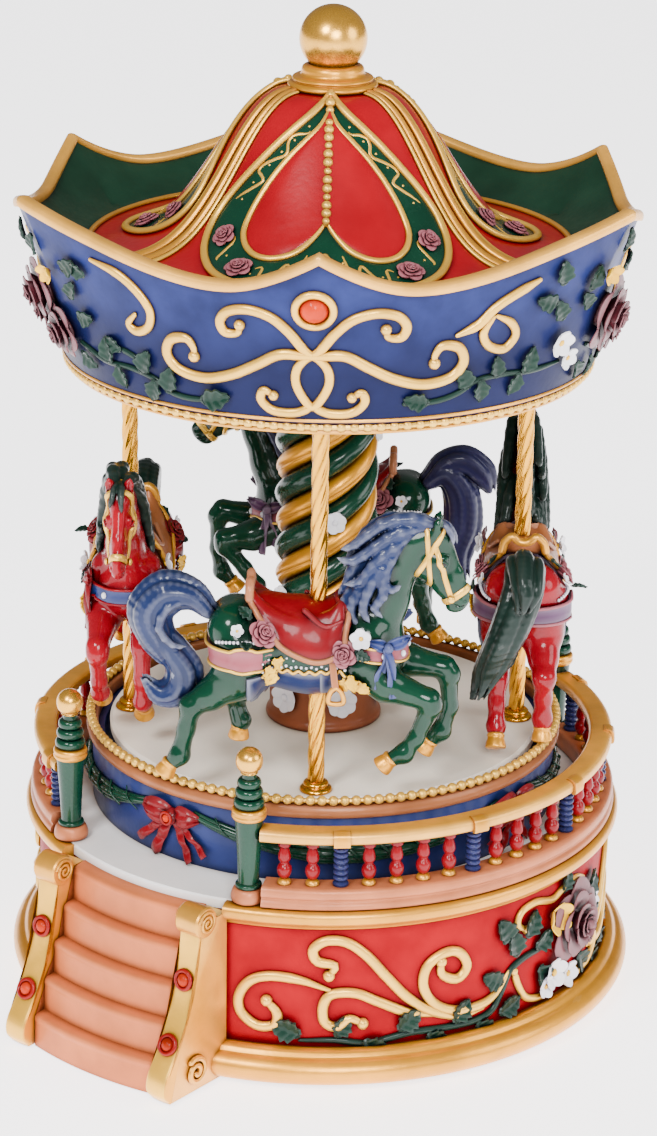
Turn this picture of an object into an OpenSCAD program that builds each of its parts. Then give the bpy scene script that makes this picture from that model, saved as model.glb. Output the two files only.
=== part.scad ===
// Wind-up carousel music box: a round base with stairs, railing and a fixed drum,
// and a turntable with four horses, twisted poles, a barley-twist column and a crown canopy.
// Millimetres, +Z up, origin at the centre of the underside. Angles are compass angles
// about +Z with 0 at the front (-Y) and 90 at the right (+X).

/* [Base] */
// radius of the bulging foot moulding
foot_r = 92.5; // [86:0.5:100]
// radius of the red wall
wall_r = 84; // [78:0.5:90]
// height of the deck
deck_z = 53; // [44:0.5:62]
// compass angle of the front stairs
stair_az = -37.5; // [-60:0.5:0]
// projection of the lowest step from the wall
stair_out = 21; // [12:0.5:28]

/* [Railing] */
// radius of the line of balusters and newel posts
rail_r = 82; // [78:0.5:84]
// number of balusters in each half of the railing
baluster_n = 23; // [11:2:31]
// height of the underside of the handrail
rail_z = 71.5; // [66:0.5:76]

/* [Turntable] */
// radius of the turntable disc
disc_r = 63; // [56:0.5:64]
// height of the turntable's top face
disc_z = 76.2; // [72:0.1:80]
// radius of the pole circle
pole_c = 57; // [50:0.5:58]
// radius of a pole
pole_r = 2.3; // [1.5:0.1:3]
// radius of the central column
column_r = 14.5; // [10:0.5:18]

/* [Canopy] */
// height of the lower edge of the fascia
brim_z = 189; // [180:0.5:200]
// radius of the lower edge of the fascia
brim_r = 75.4; // [70:0.2:80]
// radius of the crown's edge between its points
valley_r = 81; // [80:0.1:84]
// how much further out the jewelled points reach
jewel_flare = 9.7; // [5:0.1:12]
// how much further out the rose points reach
rose_flare = 13; // [6:0.1:15]
// height of the crown's edge between its points
valley_z = 222.3; // [221:0.1:226]
// rise of the jewelled points
jewel_rise = 15; // [8:0.1:18]
// rise of the rose points
rose_rise = 18; // [10:0.1:21]
// height of the top of the roof
roof_top = 263.5; // [255:0.5:270]

/* [Hidden] */
$fn = 48;
red = [0.72, 0.05, 0.08];
blue = [0.17, 0.2, 0.45];
green = [0.04, 0.22, 0.15];
gold = [0.85, 0.65, 0.25];
peach = [0.78, 0.5, 0.36];
cream = [0.93, 0.9, 0.85];
mauve = [0.5, 0.22, 0.28];
black = [0.06, 0.06, 0.07];
steel = [0.6, 0.6, 0.62];
carousel_az = -1.8;
cut_u = 30.1;
newel_a = 23.5;
rim_r = 70;
roof_r = 69;
ceiling_z = 187.5;
axis_z = 32.27;
crown_n = 42;
pinion_n = 14;
wheel_n = 36;
fan_n = 9;
pitch = 2 * 14 / crown_n;

// ---- helpers ----

function polar(az, r, z) = [r * sin(az), -r * cos(az), z];
function unit(v) = v / max(norm(v), 0.000001);

module at(az, r = 0, z = 0) {
  rotate([0, 0, az]) translate([0, -r, z]) children();
}

module ring(r1, r2, z1, z2) {
  rotate_extrude() translate([r1, z1]) square([r2 - r1, z2 - z1]);
}

// a ring sector from compass angle a1 to a2
module arc(r1, r2, z1, z2, a1, a2) {
  rotate([0, 0, a1 - 90]) rotate_extrude(angle = a2 - a1)
    translate([r1, z1]) square([r2 - r1, z2 - z1]);
}

// a round bar along a list of points lying about the vertical axis, w wide and h high
module bar(p, w, h, closed = false, sides = 5) {
  n = len(p);
  function tangent(i) = closed ? unit(p[(i + 1) % n] - p[(i + n - 1) % n])
    : unit(p[min(i + 1, n - 1)] - p[max(i - 1, 0)]);
  function out(i) = unit([p[i][0], p[i][1], 0]);
  function side(i) = unit(cross(tangent(i), out(i)));
  function taper(i) = closed ? 1 : 0.45 + 0.55 * sin(180 * i / (n - 1));
  pts = [for (i = [0 : n - 1]) for (k = [0 : sides - 1])
    p[i] + taper(i) * (out(i) * h * cos(360 * k / sides) + side(i) * w * sin(360 * k / sides))];
  rows = closed ? n : n - 1;
  skin = [for (i = [0 : rows - 1]) for (k = [0 : sides - 1])
    let (a = i * sides + k, b = i * sides + (k + 1) % sides)
    let (c = ((i + 1) % n) * sides + (k + 1) % sides, d = ((i + 1) % n) * sides + k)
    each [[a, c, b], [a, d, c]]];
  caps = closed ? [] : [[for (k = [0 : sides - 1]) k],
    [for (k = [sides - 1 : -1 : 0]) (n - 1) * sides + k]];
  polyhedron(points = pts, faces = concat(skin, caps));
}

// a closed solid through sections placed right round the vertical axis
module turned(sections) {
  n = len(sections);
  m = len(sections[0]);
  skin = [for (i = [0 : n - 1]) for (k = [0 : m - 1])
    let (a = i * m + k, b = i * m + (k + 1) % m)
    let (c = ((i + 1) % n) * m + (k + 1) % m, d = ((i + 1) % n) * m + k)
    each [[a, b, c], [a, c, d]]];
  polyhedron(points = [for (s = sections) each s], faces = skin);
}

// a taper between two balls
module limb(p, q, r1, r2, f = 8) {
  hull() {
    translate(p) sphere(r1, $fn = f);
    translate(q) sphere(r2, $fn = f);
  }
}

module stair_frame() {
  for (a = [0, 180]) rotate([0, 0, stair_az + a]) scale([1, -1, 1]) children();
}

module stair_space() {
  stair_frame() translate([-cut_u, wall_r - 12, -1]) cube([2 * cut_u, 60, deck_z + 3]);
}

// ---- base ----

module base_shell() {
  color(red) rotate_extrude() polygon([[wall_r - 3.5, 1], [wall_r, 1], [wall_r, 50],
    [wall_r - 3.5, 50], [wall_r - 3.5, 7.5], [wall_r - 10, 7.5], [wall_r - 10, 4.6],
    [wall_r - 3.5, 4.6]]);
}

module foot_molding() {
  color(gold) difference() {
    rotate_extrude() difference() {
      union() {
        translate([wall_r, 1]) square([foot_r - wall_r - 4.5, 9]);
        translate([foot_r - 4.5, 5.5]) circle(r = 4.5);
      }
      translate([wall_r - 10, 0]) square([10.01, 12]);
    }
    stair_space();
  }
}

module top_molding() {
  color(gold) difference() {
    rotate_extrude() {
      translate([wall_r, 46.5]) square([2.4, deck_z - 46.5]);
      translate([wall_r + 2.2, 50.8]) circle(r = 1.8);
    }
    stair_space();
  }
}

module deck() {
  color(cream) ring(6, wall_r, 50, deck_z);
}

module bottom_plate() {
  color(black) ring(17, wall_r - 3.7, 1.6, 4.5);
}

module plate_screws() {
  color(steel) for (a = [0 : 90 : 270]) at(a + 8, wall_r - 7, 0.6) cylinder(r = 2.6, h = 1);
}

module felt_pad() {
  color(black) ring(50, 70, 0, 1.6);
}

module stair_steps() {
  rise = (deck_z - 3.4) / 5;
  run = (stair_out - 4.5) / 4;
  color(peach) intersection() {
    for (k = [0 : 4])
      ring(wall_r, wall_r + 4.5 + run * k, 0.6, 49.6 - rise * k);
    stair_frame() translate([-22.4, 0, 0]) cube([44.8, 120, 60]);
  }
}

module stringer_profile() {
  front = wall_r + stair_out;
  polygon([[wall_r - 6, 0.6], [front + 0.5, 0.6], [front + 2.2, 4], [front + 1.8, 8],
    [front - 2, 14], [front - 6, 21], [front - 9.5, 30], [front - 11.5, 40],
    [front - 12, 48], [wall_r + 6, 51], [wall_r - 6, 51]]);
  translate([wall_r + 5.6, 50.6]) circle(r = 4.4);
}

module stair_stringers() {
  color(gold) difference() {
    stair_frame() for (s = [-1, 1]) translate([s * 26.2 + 3.6, 0, 0])
      rotate([90, 0, -90]) mirror([1, 0, 0]) linear_extrude(7.2) stringer_profile();
    translate([0, 0, -1]) cylinder(r = wall_r + 0.02, h = deck_z + 12);
  }
}

module stair_jewels() {
  color([0.85, 0.2, 0.05]) stair_frame() for (s = [-1, 1]) {
    translate([s * 26.2, wall_r + stair_out - 10.5, 35]) rotate([-78.7, 0, 0])
      cylinder(r1 = 2.5, r2 = 1.6, h = 1.3);
    translate([s * 26.2, wall_r + stair_out - 4, 17.5]) rotate([-60.3, 0, 0])
      cylinder(r1 = 2.5, r2 = 1.6, h = 1.3);
  }
}

module half_rail(r1, r2, z1, z2, trim = 3.4) {
  for (a = [0, 180])
    arc(r1, r2, z1, z2, stair_az + a + newel_a + trim, stair_az + a + 180 - newel_a - trim);
}

module rail_curb() {
  color(peach) half_rail(rail_r - 4, wall_r + 2.2, deck_z, deck_z + 6);
}

module handrail() {
  color(peach) half_rail(rail_r - 3.4, rail_r + 3.4, rail_z, rail_z + 4, 3);
}

module balusters(blue_ones) {
  step = (180 - 2 * newel_a - 14) / (baluster_n - 1);
  for (a = [0, 180]) for (k = [0 : baluster_n - 1]) if ((k % 5 == 2) == blue_ones)
    at(stair_az + a + newel_a + 7 + step * k, rail_r, deck_z + 6)
      rotate_extrude($fn = 16) polygon([[0, 0], [1.9, 0], [1.9, 1], [1, 1.6], [2, 4], [2, 5],
        [1.1, 6.2], [2, 8], [1.6, 10], [1, 11], [1.8, rail_z - deck_z - 7],
        [1.8, rail_z - deck_z - 6], [0, rail_z - deck_z - 6]]);
}

module newel_places() {
  for (a = [0, 180]) for (s = [-1, 1]) at(stair_az + a + s * newel_a, rail_r, deck_z) children();
}

module newel_feet() {
  color(peach) newel_places() cylinder(r1 = 4.6, r2 = 4.4, h = 4);
}

module newel_posts() {
  color(green) newel_places() {
    translate([0, 0, 4]) cylinder(r1 = 2.8, r2 = 3.9, h = 20.5);
    translate([0, 0, 27.5]) cylinder(r = 4, h = 3);
    translate([0, 0, 30.5]) cylinder(r = 3.6, h = 3);
    translate([0, 0, 33.5]) cylinder(r = 3.1, h = 3);
    translate([0, 0, 36.5]) cylinder(r = 2.4, h = 2);
  }
}

module newel_balls() {
  color(gold) newel_places() {
    translate([0, 0, 24.5]) cylinder(r1 = 4.2, r2 = 4.8, h = 3);
    difference() {
      translate([0, 0, 41.6]) sphere(3.7);
      translate([0, 0, 28.5]) cylinder(r = 6, h = 10);
    }
  }
}

// ---- fixed drum ----

module drum_wall() {
  color(blue) ring(64.5, 68.2, deck_z, 72.5);
}

module drum_rim() {
  color(peach) ring(disc_r + 3.5, rim_r, 72.5, 76.8);
}

module drum_beads() {
  color(gold) rotate_extrude() translate([rim_r - 1.3, 78]) circle(r = 1.2);
}

module drum_swags() {
  color(green) for (q = [0 : 3])
    bar([for (i = [0 : 14]) let (t = (i - 7) / 7)
      polar(stair_az + 45 + 90 * q + t * 38, 69.3, 61.5 + 6.5 * t * t)], 2.4, 1.05);
}

module drum_bows() {
  color(red) difference() {
    for (q = [0 : 3]) at(stair_az + 90 * q, 69.6, 66) {
      for (s = [-1, 1]) {
        translate([s * 4.6, 0, 1]) scale([4.2, 1.6, 2.6]) sphere(1, $fn = 24);
        rotate([90, s * 24, 0]) translate([-1.5, -10.5, -0.6]) cube([3, 10, 1.4]);
      }
      sphere(2.2, $fn = 24);
    }
    cylinder(r = 68.24, h = 120);
    drum_swags();
  }
}

module bow_jewels() {
  color([0.95, 0.55, 0.1]) difference() {
    for (q = [0 : 3]) at(stair_az + 90 * q, 71.6, 66.4) sphere(1.5, $fn = 24);
    drum_bows();
  }
}

// ---- ornaments on the base wall ----

// a scroll on the wall: centre angle, centre height, start size, turns and handedness
function spiral(az, z, size, turns, s, start) = [for (i = [0 : 15])
  let (t = i / 15, a = start + s * 360 * turns * t, k = size * (1 - 0.72 * t))
  polar(az + k * cos(a) / wall_r * 57.3, wall_r + 1.1, z + k * sin(a))];

panel_az = [7.5, 82.5, 187.5, 262.5];

module base_scrolls() {
  color(gold) for (a = panel_az) {
    for (s = [-1, 1]) bar(spiral(a + s * 8.5, 27, 8.6, 1.1, s, 90), 0.95, 0.95);
    bar([for (i = [0 : 8]) polar(a + (i - 4) * 1.9, wall_r + 1.1,
      39.4 + 1.6 * sin(i * 45))], 0.9, 0.9);
  }
}

module base_vines() {
  color(green) difference() {
    for (a = [30, 210])
      bar([for (i = [0 : 14]) polar(a - 18 + 2.6 * i, wall_r + 1.2, 15.5 + 1.8 * sin(52 * i))],
        1.1, 1.1);
    cylinder(r = wall_r + 0.03, h = 60);
  }
}

module base_roses() {
  color(mauve) for (a = [0, 180]) {
    at(57.5 + a, wall_r + 0.05, 33) rotate([90, 0, 0]) cylinder(r1 = 6.2, r2 = 4, h = 4);
    at(49.5 + a, wall_r + 0.05, 38.5) rotate([90, 0, 0]) cylinder(r1 = 3, r2 = 2, h = 2.6);
    at(49 + a, wall_r + 0.05, 22.5) rotate([90, 0, 0]) cylinder(r1 = 3.6, r2 = 2, h = 2.6);
  }
}

module spindle_bushing() {
  color(gold) ring(3.05, 5.98, 49, 54.6);
}

// ---- movement ----

module movement_bedplate() {
  color(steel) difference() {
    translate([-24, -24, 13]) cube([90, 48, 2]);
    cylinder(r = 3, h = 60);
  }
}

module corners() {
  for (x = [-19, 61]) for (y = [-19.5, 19.5]) translate([x, y, 0]) children();
}

module movement_spacers() {
  color(gold) corners() translate([0, 0, 4.5]) cylinder(r = 3.2, h = 8.5);
}

module movement_screws() {
  color(steel) {
    corners() translate([0, 0, 15]) cylinder(r = 2.4, h = 1.6);
    for (x = [27, 44]) translate([x, 17, 32.9]) cylinder(r = 2, h = 1.4);
  }
}

module comb_block() {
  color(gold) translate([22, 12, 15]) cube([27, 10, 16.6]);
}

module music_comb() {
  color(steel) difference() {
    translate([22, 7.4, 31.6]) cube([27, 13, 1.3]);
    for (k = [1 : 17]) translate([22 + 1.5 * k - 0.25, 6, 31]) cube([0.5, 8, 3]);
  }
}

module plate_with_bore(x, y, w, bore) {
  difference() {
    translate([x, y - w / 2, 15]) cube([1.4, w, 22]);
    translate([x - 1, y, axis_z]) rotate([0, 90, 0]) cylinder(r = bore, h = 4);
  }
}

module cylinder_brackets() {
  color(gold) {
    plate_with_bore(17.6, 0, 9, 1.3);
    plate_with_bore(59, 0, 9, 1.3);
  }
}

module governor_brackets() {
  color(gold) {
    plate_with_bore(36, -15, 7, 0.85);
    plate_with_bore(56.2, -15, 7, 0.85);
  }
}

// a spur wheel with thin straight teeth
module spur(n, r, w, phase) {
  cylinder(r = r - 0.75, h = w);
  for (k = [0 : n - 1]) rotate([0, 0, phase + 360 * k / n])
    translate([r - 1, -0.3, 0]) cube([1.5, 0.6, w]);
}

module music_cylinder() {
  color(gold) translate([0, 0, axis_z]) rotate([0, 90, 0]) {
    translate([0, 0, 11]) cylinder(r = 1.25, h = 51.5);
    translate([0, 0, 12.6]) spur(pinion_n, pinion_n * pitch / 2, 2.8, 0);
    translate([0, 0, 21]) cylinder(r = 7, h = 29);
    translate([0, 0, 52.6]) spur(wheel_n, wheel_n * pitch / 2, 2, 0);
  }
}

module governor_fan() {
  color(steel) translate([0, -(wheel_n + fan_n) * pitch / 2, axis_z]) rotate([0, 90, 0]) {
    translate([0, 0, 34.5]) cylinder(r = 0.8, h = 24);
    translate([0, 0, 52.2]) spur(fan_n, fan_n * pitch / 2, 2.8, 70);
    for (a = [0, 90]) rotate(a) translate([0.5, -0.3, 38.5]) cube([5.3, 0.6, 9]);
  }
}

module winding_key() {
  color(steel) {
    translate([0, 0, 10]) cylinder(r = 2, h = 14.8);
    translate([0, 0, 9]) cylinder(r = 3.4, h = 3.4);
    for (s = [-1, 1]) translate([s * 6.4, 0.9, 6.4]) rotate([90, 0, 0]) cylinder(r = 5, h = 1.8);
    translate([-5, -0.9, 4]) cube([10, 1.8, 6]);
  }
}

module spring_barrel() {
  color(gold) {
    difference() {
      translate([0, 0, 17]) cylinder(r = 16.5, h = 10);
      translate([0, 0, 16]) cylinder(r = 2.05, h = 9.2);
    }
    for (k = [0 : crown_n - 1]) rotate([0, 0, 360 * (k + 0.5) / crown_n])
      translate([12.4, -0.3, 26.9]) cube([3.2, 0.6, 1.3]);
    translate([0, 0, 26.5]) cylinder(r = 3, h = 35);
  }
}

// ---- turntable ----

module turntable() {
  color(cream) difference() {
    union() {
      translate([0, 0, 72.7]) cylinder(r = disc_r, h = disc_z - 72.7);
      translate([0, 0, 57]) cylinder(r = 10, h = 16);
    }
    translate([0, 0, 50]) cylinder(r = 3, h = 11.5);
  }
}

module pole_places() {
  for (q = [0 : 3]) at(carousel_az + 90 * q, pole_c, 0) children();
}

module pole_flanges() {
  color(gold) pole_places() ring(pole_r, 4.4, disc_z, disc_z + 2.8);
}

module poles() {
  color(gold) pole_places() translate([0, 0, disc_z]) cylinder(r = pole_r, h = ceiling_z - disc_z);
}

module column_base() {
  color(peach) translate([0, 0, disc_z]) cylinder(r = 17, h = 19.3);
}

module column_green() {
  color(green) translate([0, 0, disc_z + 19.3])
    cylinder(r = column_r - 1.4, h = ceiling_z - disc_z - 19.3);
}

module column_gold() {
  h = ceiling_z - disc_z - 23;
  color(gold) for (q = [0, 120, 240])
    bar([for (i = [0 : 48]) polar(q + 18 * i, column_r - 0.2, disc_z + 21.2 + h * i / 48)],
      2, 1);
}

// ---- horses: pole at the origin, facing +X, z above the disc ----

module horse_shape(lifted) {
  crest = lifted ? [27, 0, 74] : [25, 0, 72];
  poll = lifted ? [31, 0, 76] : [31, 0, 76];
  nose = lifted ? [44, 0, 67] : [38, 0, 57.5];
  difference() {
    union() {
      limb([-17, 0, 45.5], [13, 0, 44], 11, 10.5, 10);
      limb([15, 0, 48], crest, 8.6, 5.2, 10);
      limb(crest, poll, 5.2, 4.6);
      limb(poll, nose, 4.8, 2.9);
      for (s = [-1, 1]) limb([30, s * 2.4, 78], [31, s * 3, 82.5], 1.6, 0.5, 6);
      limb([15, -5, 40], [30.8, -6.4, 30], 5, 3.2);
      limb([30.8, -6.4, 30], [27, -6.4, 18], 3, 2.3);
      limb([27, -6.4, 18], [20, -6.4, 12.5], 2.3, 3);
      limb([17, 5, 41], [35.4, 6.4, 34.6], 5, 3.2);
      limb([35.4, 6.4, 34.6], [36.8, 6.4, 22], 3, 2.3);
      limb([36.8, 6.4, 22], [31.4, 6.4, 13], 2.3, 3);
      limb([-22, -5, 43], [-35, -6, 27], 7.4, 3.2);
      limb([-35, -6, 27], [-38, -6, 13], 3.2, 2.4);
      limb([-38, -6, 13], [-40, -6, 10.5], 2.4, 3);
      limb([-20, 5, 42], [-17, 6, 28], 7, 3.4);
      limb([-17, 6, 28], [-26, 6, 19], 3.2, 2.4);
      limb([-26, 6, 19], [-23, 6, 15], 2.4, 3);
    }
    translate([0, 0, -1]) cylinder(r = pole_r + 0.12, h = 120, $fn = 24);
  }
}

module horse_at(q) {
  at(carousel_az + 90 * q, pole_c, disc_z) children();
}

module mane_tail_shape(lifted) {
  top = lifted ? 3 : 0;
  difference() {
    union() {
      limb([28, 0, 78 + top], [20, 0, 74 + top], 4, 4.6, 8);
      limb([20, 0, 74 + top], [13.8, 0, 59], 4.6, 2.8, 8);
      limb([-27, 0, 55], [-40, 0, 56], 3.2, 4, 8);
      limb([-40, 0, 56], [-47, 0, 44], 4, 4.6, 8);
      limb([-47, 0, 44], [-46, 0, 31], 4.6, 4, 8);
      limb([-46, 0, 31], [-38, 0, 24], 4, 1.6, 8);
    }
    horse_shape(lifted);
    translate([0, 0, -1]) cylinder(r = pole_r + 0.15, h = 120, $fn = 24);
  }
}

module saddle_shape(lifted) {
  difference() {
    union() {
      intersection() {
        translate([-1, 0, 45]) scale([11, 12.8, 12.6]) sphere(1, $fn = 14);
        translate([-14, -20, 42]) cube([28, 40, 30]);
      }
      limb([-9, -5, 55], [-9, 5, 55], 2.6, 2.6, 6);
      limb([7, -2, 56], [7, 2, 56], 2.2, 2.2, 6);
    }
    horse_shape(lifted);
    translate([0, 0, -1]) cylinder(r = pole_r + 0.15, h = 120, $fn = 24);
  }
}

module horse_front() {
  color(green) horse_at(0) horse_shape(false);
}

module horse_right() {
  color(red) horse_at(1) horse_shape(true);
}

module horse_back() {
  color(green) horse_at(2) horse_shape(true);
}

module horse_left() {
  color(red) horse_at(3) horse_shape(false);
}

module manes_tails() {
  color(blue) for (q = [0 : 3]) horse_at(q) mane_tail_shape(q == 1 || q == 2);
}

module saddles() {
  color(red) for (q = [0 : 3]) horse_at(q) saddle_shape(q == 1 || q == 2);
}

// ---- canopy ----

// 1 at a crown point, falling to 0 w degrees away; k is 0 for the jewelled points, 60 for the rose points
function near_point(az, k, w) = max(0, 1 - abs((az - carousel_az - k + 3660) % 120 - 60) / w);
function rim_r(az) = valley_r + jewel_flare * pow(near_point(az, 0, 45), 1.55)
  + rose_flare * pow(near_point(az, 60, 45.6), 1.55);
function rim_z(az) = valley_z + jewel_rise * pow(near_point(az, 0, 45), 2.9)
  + rose_rise * near_point(az, 60, 45.6);
function fascia_r(az, t) = brim_r + (rim_r(az) - brim_r) * t;
function fascia_z(az, t) = brim_z + (rim_z(az) - brim_z) * t;
function on_fascia(az, t, off) = polar(az, fascia_r(az, t) + off, fascia_z(az, t));
// an ogee: a full shoulder under the finial, flat at the eaves
function roof_z(r) = 219.5 + (roof_top - 219.5) * exp(-pow(max(r - 12, 0) / 25.4, 2.2));

module canopy_ceiling() {
  color(green) translate([0, 0, ceiling_z]) cylinder(r = 72.2, h = 2.4);
}

module canopy_fascia() {
  color(blue) turned([for (i = [0 : 71])
    let (az = carousel_az + i * 5, r = rim_r(az), z = rim_z(az))
    [on_fascia(az, 0, 0), on_fascia(az, 0.33, 0), on_fascia(az, 0.67, 0), on_fascia(az, 1, 0),
      polar(az, r - 2.3, z - 0.2), polar(az, r - 15, 219.8), polar(az, 69.15, 219.2),
      polar(az, 69.15, 217), polar(az, 72.45, 212), polar(az, 72.45, brim_z)]]);
}

module rim_trim() {
  color(gold) turned([for (i = [0 : 71])
    let (az = carousel_az + i * 5, r = rim_r(az), z = rim_z(az))
    [polar(az, r, z + 0.12), polar(az, r + 0.5, z + 1.8), polar(az, r - 2.2, z + 1.8),
      polar(az, r - 2.3, z - 0.08)]]);
}

module brim_beads() {
  color(gold) rotate_extrude() translate([brim_r - 0.9, brim_z - 1.4]) circle(r = 1.3);
}

module fascia_scrolls() {
  color(gold) for (q = [0, 120, 240]) {
    for (s = [-1, 1]) {
      bar([for (i = [0 : 11]) let (a = 210 * i / 11 - 50, k = 1 - 0.03 * i)
        on_fascia(carousel_az + q + s * (15 + 8 * k * cos(a)), 0.42 + 0.2 * k * sin(a), 1.3)],
        0.8, 0.8);
      bar([for (i = [0 : 10]) let (a = 280 * i / 10, k = 1 - 0.05 * i)
        on_fascia(carousel_az + q + s * (30 + 4 * k * cos(a)), 0.3 + 0.14 * k * sin(a), 1.3)],
        0.8, 0.8);
    }
    bar([for (i = [0 : 11]) on_fascia(carousel_az + q + 3 * cos(30 * i),
      0.25 + 0.17 * sin(30 * i), 1.3)], 0.8, 0.8, true);
  }
}

module fascia_jewels() {
  color([0.85, 0.2, 0.05]) difference() {
    for (q = [0, 120, 240]) translate(on_fascia(carousel_az + q, 0.66, 0.6)) sphere(2.8);
    canopy_fascia();
  }
}

module fascia_roses() {
  color(mauve) for (q = [60, 180, 300]) for (p = [[0, 0.66, 4.2], [6.5, 0.45, 3.6], [-6.5, 0.4, 3]])
    translate(on_fascia(carousel_az + q + p[0], p[1], 0.7)) rotate([108, 0, carousel_az + q + p[0]])
      cylinder(r1 = p[2], r2 = p[2] - 1.6, h = 2.6);
}

module roof_shell(low, high) {
  rs = [for (i = [0 : 9]) 9 + (roof_r - 9) * pow(i / 9, 1.15)];
  rotate_extrude() polygon(concat([for (r = rs) [r, roof_z(max(r, 12)) + high]],
    [for (i = [9 : -1 : 0]) [rs[i], roof_z(max(rs[i], 12)) + low]]));
}

module roof_cone() {
  color(red) roof_shell(-2.5, 0);
}

// the plan outline of a heart whose tip points to the middle, scaled by s about its centre
module heart(s) {
  translate([0, -33]) scale(s) translate([0, 33]) for (k = [-1, 1]) hull() {
    translate([k * 14.5, -41]) circle(r = 17.6);
    translate([k * 16.5, -30]) circle(r = 7.6);
    translate([k * 0.4, -13.4]) circle(r = 0.5);
  }
}

module roof_ornaments() {
  color(gold) {
    intersection() {
      roof_shell(0.2, 1.5);
      translate([0, 0, 200]) linear_extrude(80) for (q = [0 : 2]) rotate(carousel_az + 120 * q) {
        difference() {
          heart(1);
          heart(0.94);
        }
        difference() {
          heart(0.64);
          heart(0.58);
        }
        translate([-0.8, -38]) square([1.6, 16]);
      }
    }
    intersection() {
      roof_shell(0.2, 1.6);
      translate([0, 0, 200]) linear_extrude(80) for (q = [0 : 2]) for (s = [-1, 1])
        rotate(carousel_az + 60 + 120 * q) translate([s * 2.6 - 1.3, -66]) square([2.6, 53]);
    }
  }
}

module finial() {
  color(gold) {
    translate([0, 0, roof_top + 0.05]) cylinder(r1 = 12.3, r2 = 11.6, h = 3.2);
    translate([0, 0, roof_top + 3.2]) cylinder(r1 = 10, r2 = 7.6, h = 3.4);
    translate([0, 0, roof_top + 13.9]) sphere(9.5);
  }
}

base_shell();
foot_molding();
top_molding();
deck();
bottom_plate();
plate_screws();
felt_pad();
stair_steps();
stair_stringers();
stair_jewels();
rail_curb();
handrail();
color(red) balusters(false);  // balusters_red
color(blue) balusters(true);  // balusters_blue
newel_feet();
newel_posts();
newel_balls();
drum_wall();
drum_rim();
drum_beads();
drum_swags();
drum_bows();
bow_jewels();
base_scrolls();
base_vines();
base_roses();
spindle_bushing();
movement_bedplate();
movement_spacers();
movement_screws();
music_comb();
comb_block();
cylinder_brackets();
governor_brackets();
music_cylinder();
governor_fan();
winding_key();
turntable();
spring_barrel();
pole_flanges();
poles();
column_base();
column_green();
column_gold();
horse_front();
horse_right();
horse_back();
horse_left();
manes_tails();
saddles();
canopy_ceiling();
canopy_fascia();
rim_trim();
brim_beads();
fascia_scrolls();
fascia_jewels();
fascia_roses();
roof_cone();
roof_ornaments();
finial();
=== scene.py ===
"""Looks for the carousel music box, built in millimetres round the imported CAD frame."""
import math

import bmesh
import bpy
import numpy as np
from mathutils import Matrix, Vector


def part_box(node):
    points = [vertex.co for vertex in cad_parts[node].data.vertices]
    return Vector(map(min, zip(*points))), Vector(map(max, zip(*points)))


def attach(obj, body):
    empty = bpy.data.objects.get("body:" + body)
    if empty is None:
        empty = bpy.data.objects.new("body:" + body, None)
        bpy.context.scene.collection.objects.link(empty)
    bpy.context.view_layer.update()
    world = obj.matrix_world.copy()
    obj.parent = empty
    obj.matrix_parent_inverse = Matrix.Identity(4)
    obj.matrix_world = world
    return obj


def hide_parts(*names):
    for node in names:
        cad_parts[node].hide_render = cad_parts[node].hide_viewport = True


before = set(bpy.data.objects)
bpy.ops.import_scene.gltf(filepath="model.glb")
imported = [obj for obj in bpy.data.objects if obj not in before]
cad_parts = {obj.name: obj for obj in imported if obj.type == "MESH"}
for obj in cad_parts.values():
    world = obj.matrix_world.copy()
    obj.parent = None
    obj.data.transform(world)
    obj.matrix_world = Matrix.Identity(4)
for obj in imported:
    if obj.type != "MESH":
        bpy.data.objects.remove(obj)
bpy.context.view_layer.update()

# ---- sizes, in millimetres, taken from the CAD nodes ----


def edges(node):
    """The box of a CAD node in millimetres: low corner, high corner."""
    lo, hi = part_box(node)
    return np.array(lo) * 1000, np.array(hi) * 1000


def radius_of(node):
    """How far a CAD node reaches to the right of the axis."""
    return edges(node)[1][0]


WALL_R = radius_of("base_shell")
FOOT_R = radius_of("foot_molding")
DECK_Z = edges("deck")[1][2]
DISC_R = radius_of("turntable")
DISC_Z = edges("turntable")[1][2]
DRUM_R = radius_of("drum_wall")
DRUM_RIM_R = radius_of("drum_rim")
DRUM_RIM_Z = edges("drum_rim")[0][2], edges("drum_rim")[1][2]
RAIL_Z = edges("handrail")[0][2], edges("handrail")[1][2]
RAIL_R = edges("handrail")[1][0] - 3.4
CEILING_Z = edges("canopy_ceiling")[0][2]
BRIM_Z = edges("canopy_fascia")[0][2]
BRIM_R = radius_of("brim_beads") - 0.4
ROOF_R = radius_of("roof_cone")
ROOF_TOP = edges("roof_cone")[1][2]
EAVES_Z = 219.5
# the crown has two kinds of points in turn, over a jewel and over the roses; each stands out and up
# from the hollows by its flare and rise, and its slope runs as many degrees as its spread
VALLEY_R, VALLEY_Z = 81.0, 221.8
JEWEL_FLARE, ROSE_FLARE = 9.7, 13.0
JEWEL_RISE, ROSE_RISE = 15.0, 18.0
JEWEL_SPREAD, ROSE_SPREAD = 45.0, 45.6
# compass angles: the front stairs, the front horse with its jewel, and from stairs to newel
STAIR_AZ = -37.5
CAROUSEL_AZ = -1.8
NEWEL_A = 23.5
# in mm: how far the stairs stand out, half their width, and half the gap they leave in the mouldings
STAIR_OUT = 21.0
STAIR_W = 22.4
CUT_U = 30.1
POLE_C = 57.0
POLE_R = 2.3
COLUMN_R = 14.5

# ---- maths ----


def unit(v):
    """Vectors scaled to length one."""
    v = np.asarray(v, float)
    return v / np.maximum(np.linalg.norm(v, axis=-1, keepdims=True), 1e-9)


def polar(az, r, z):
    """Points at compass angle az in degrees (0 front, 90 right), radius r and height z."""
    a = np.radians(az)
    return np.stack(np.broadcast_arrays(r * np.sin(a), -r * np.cos(a), z), -1).astype(float)


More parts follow.
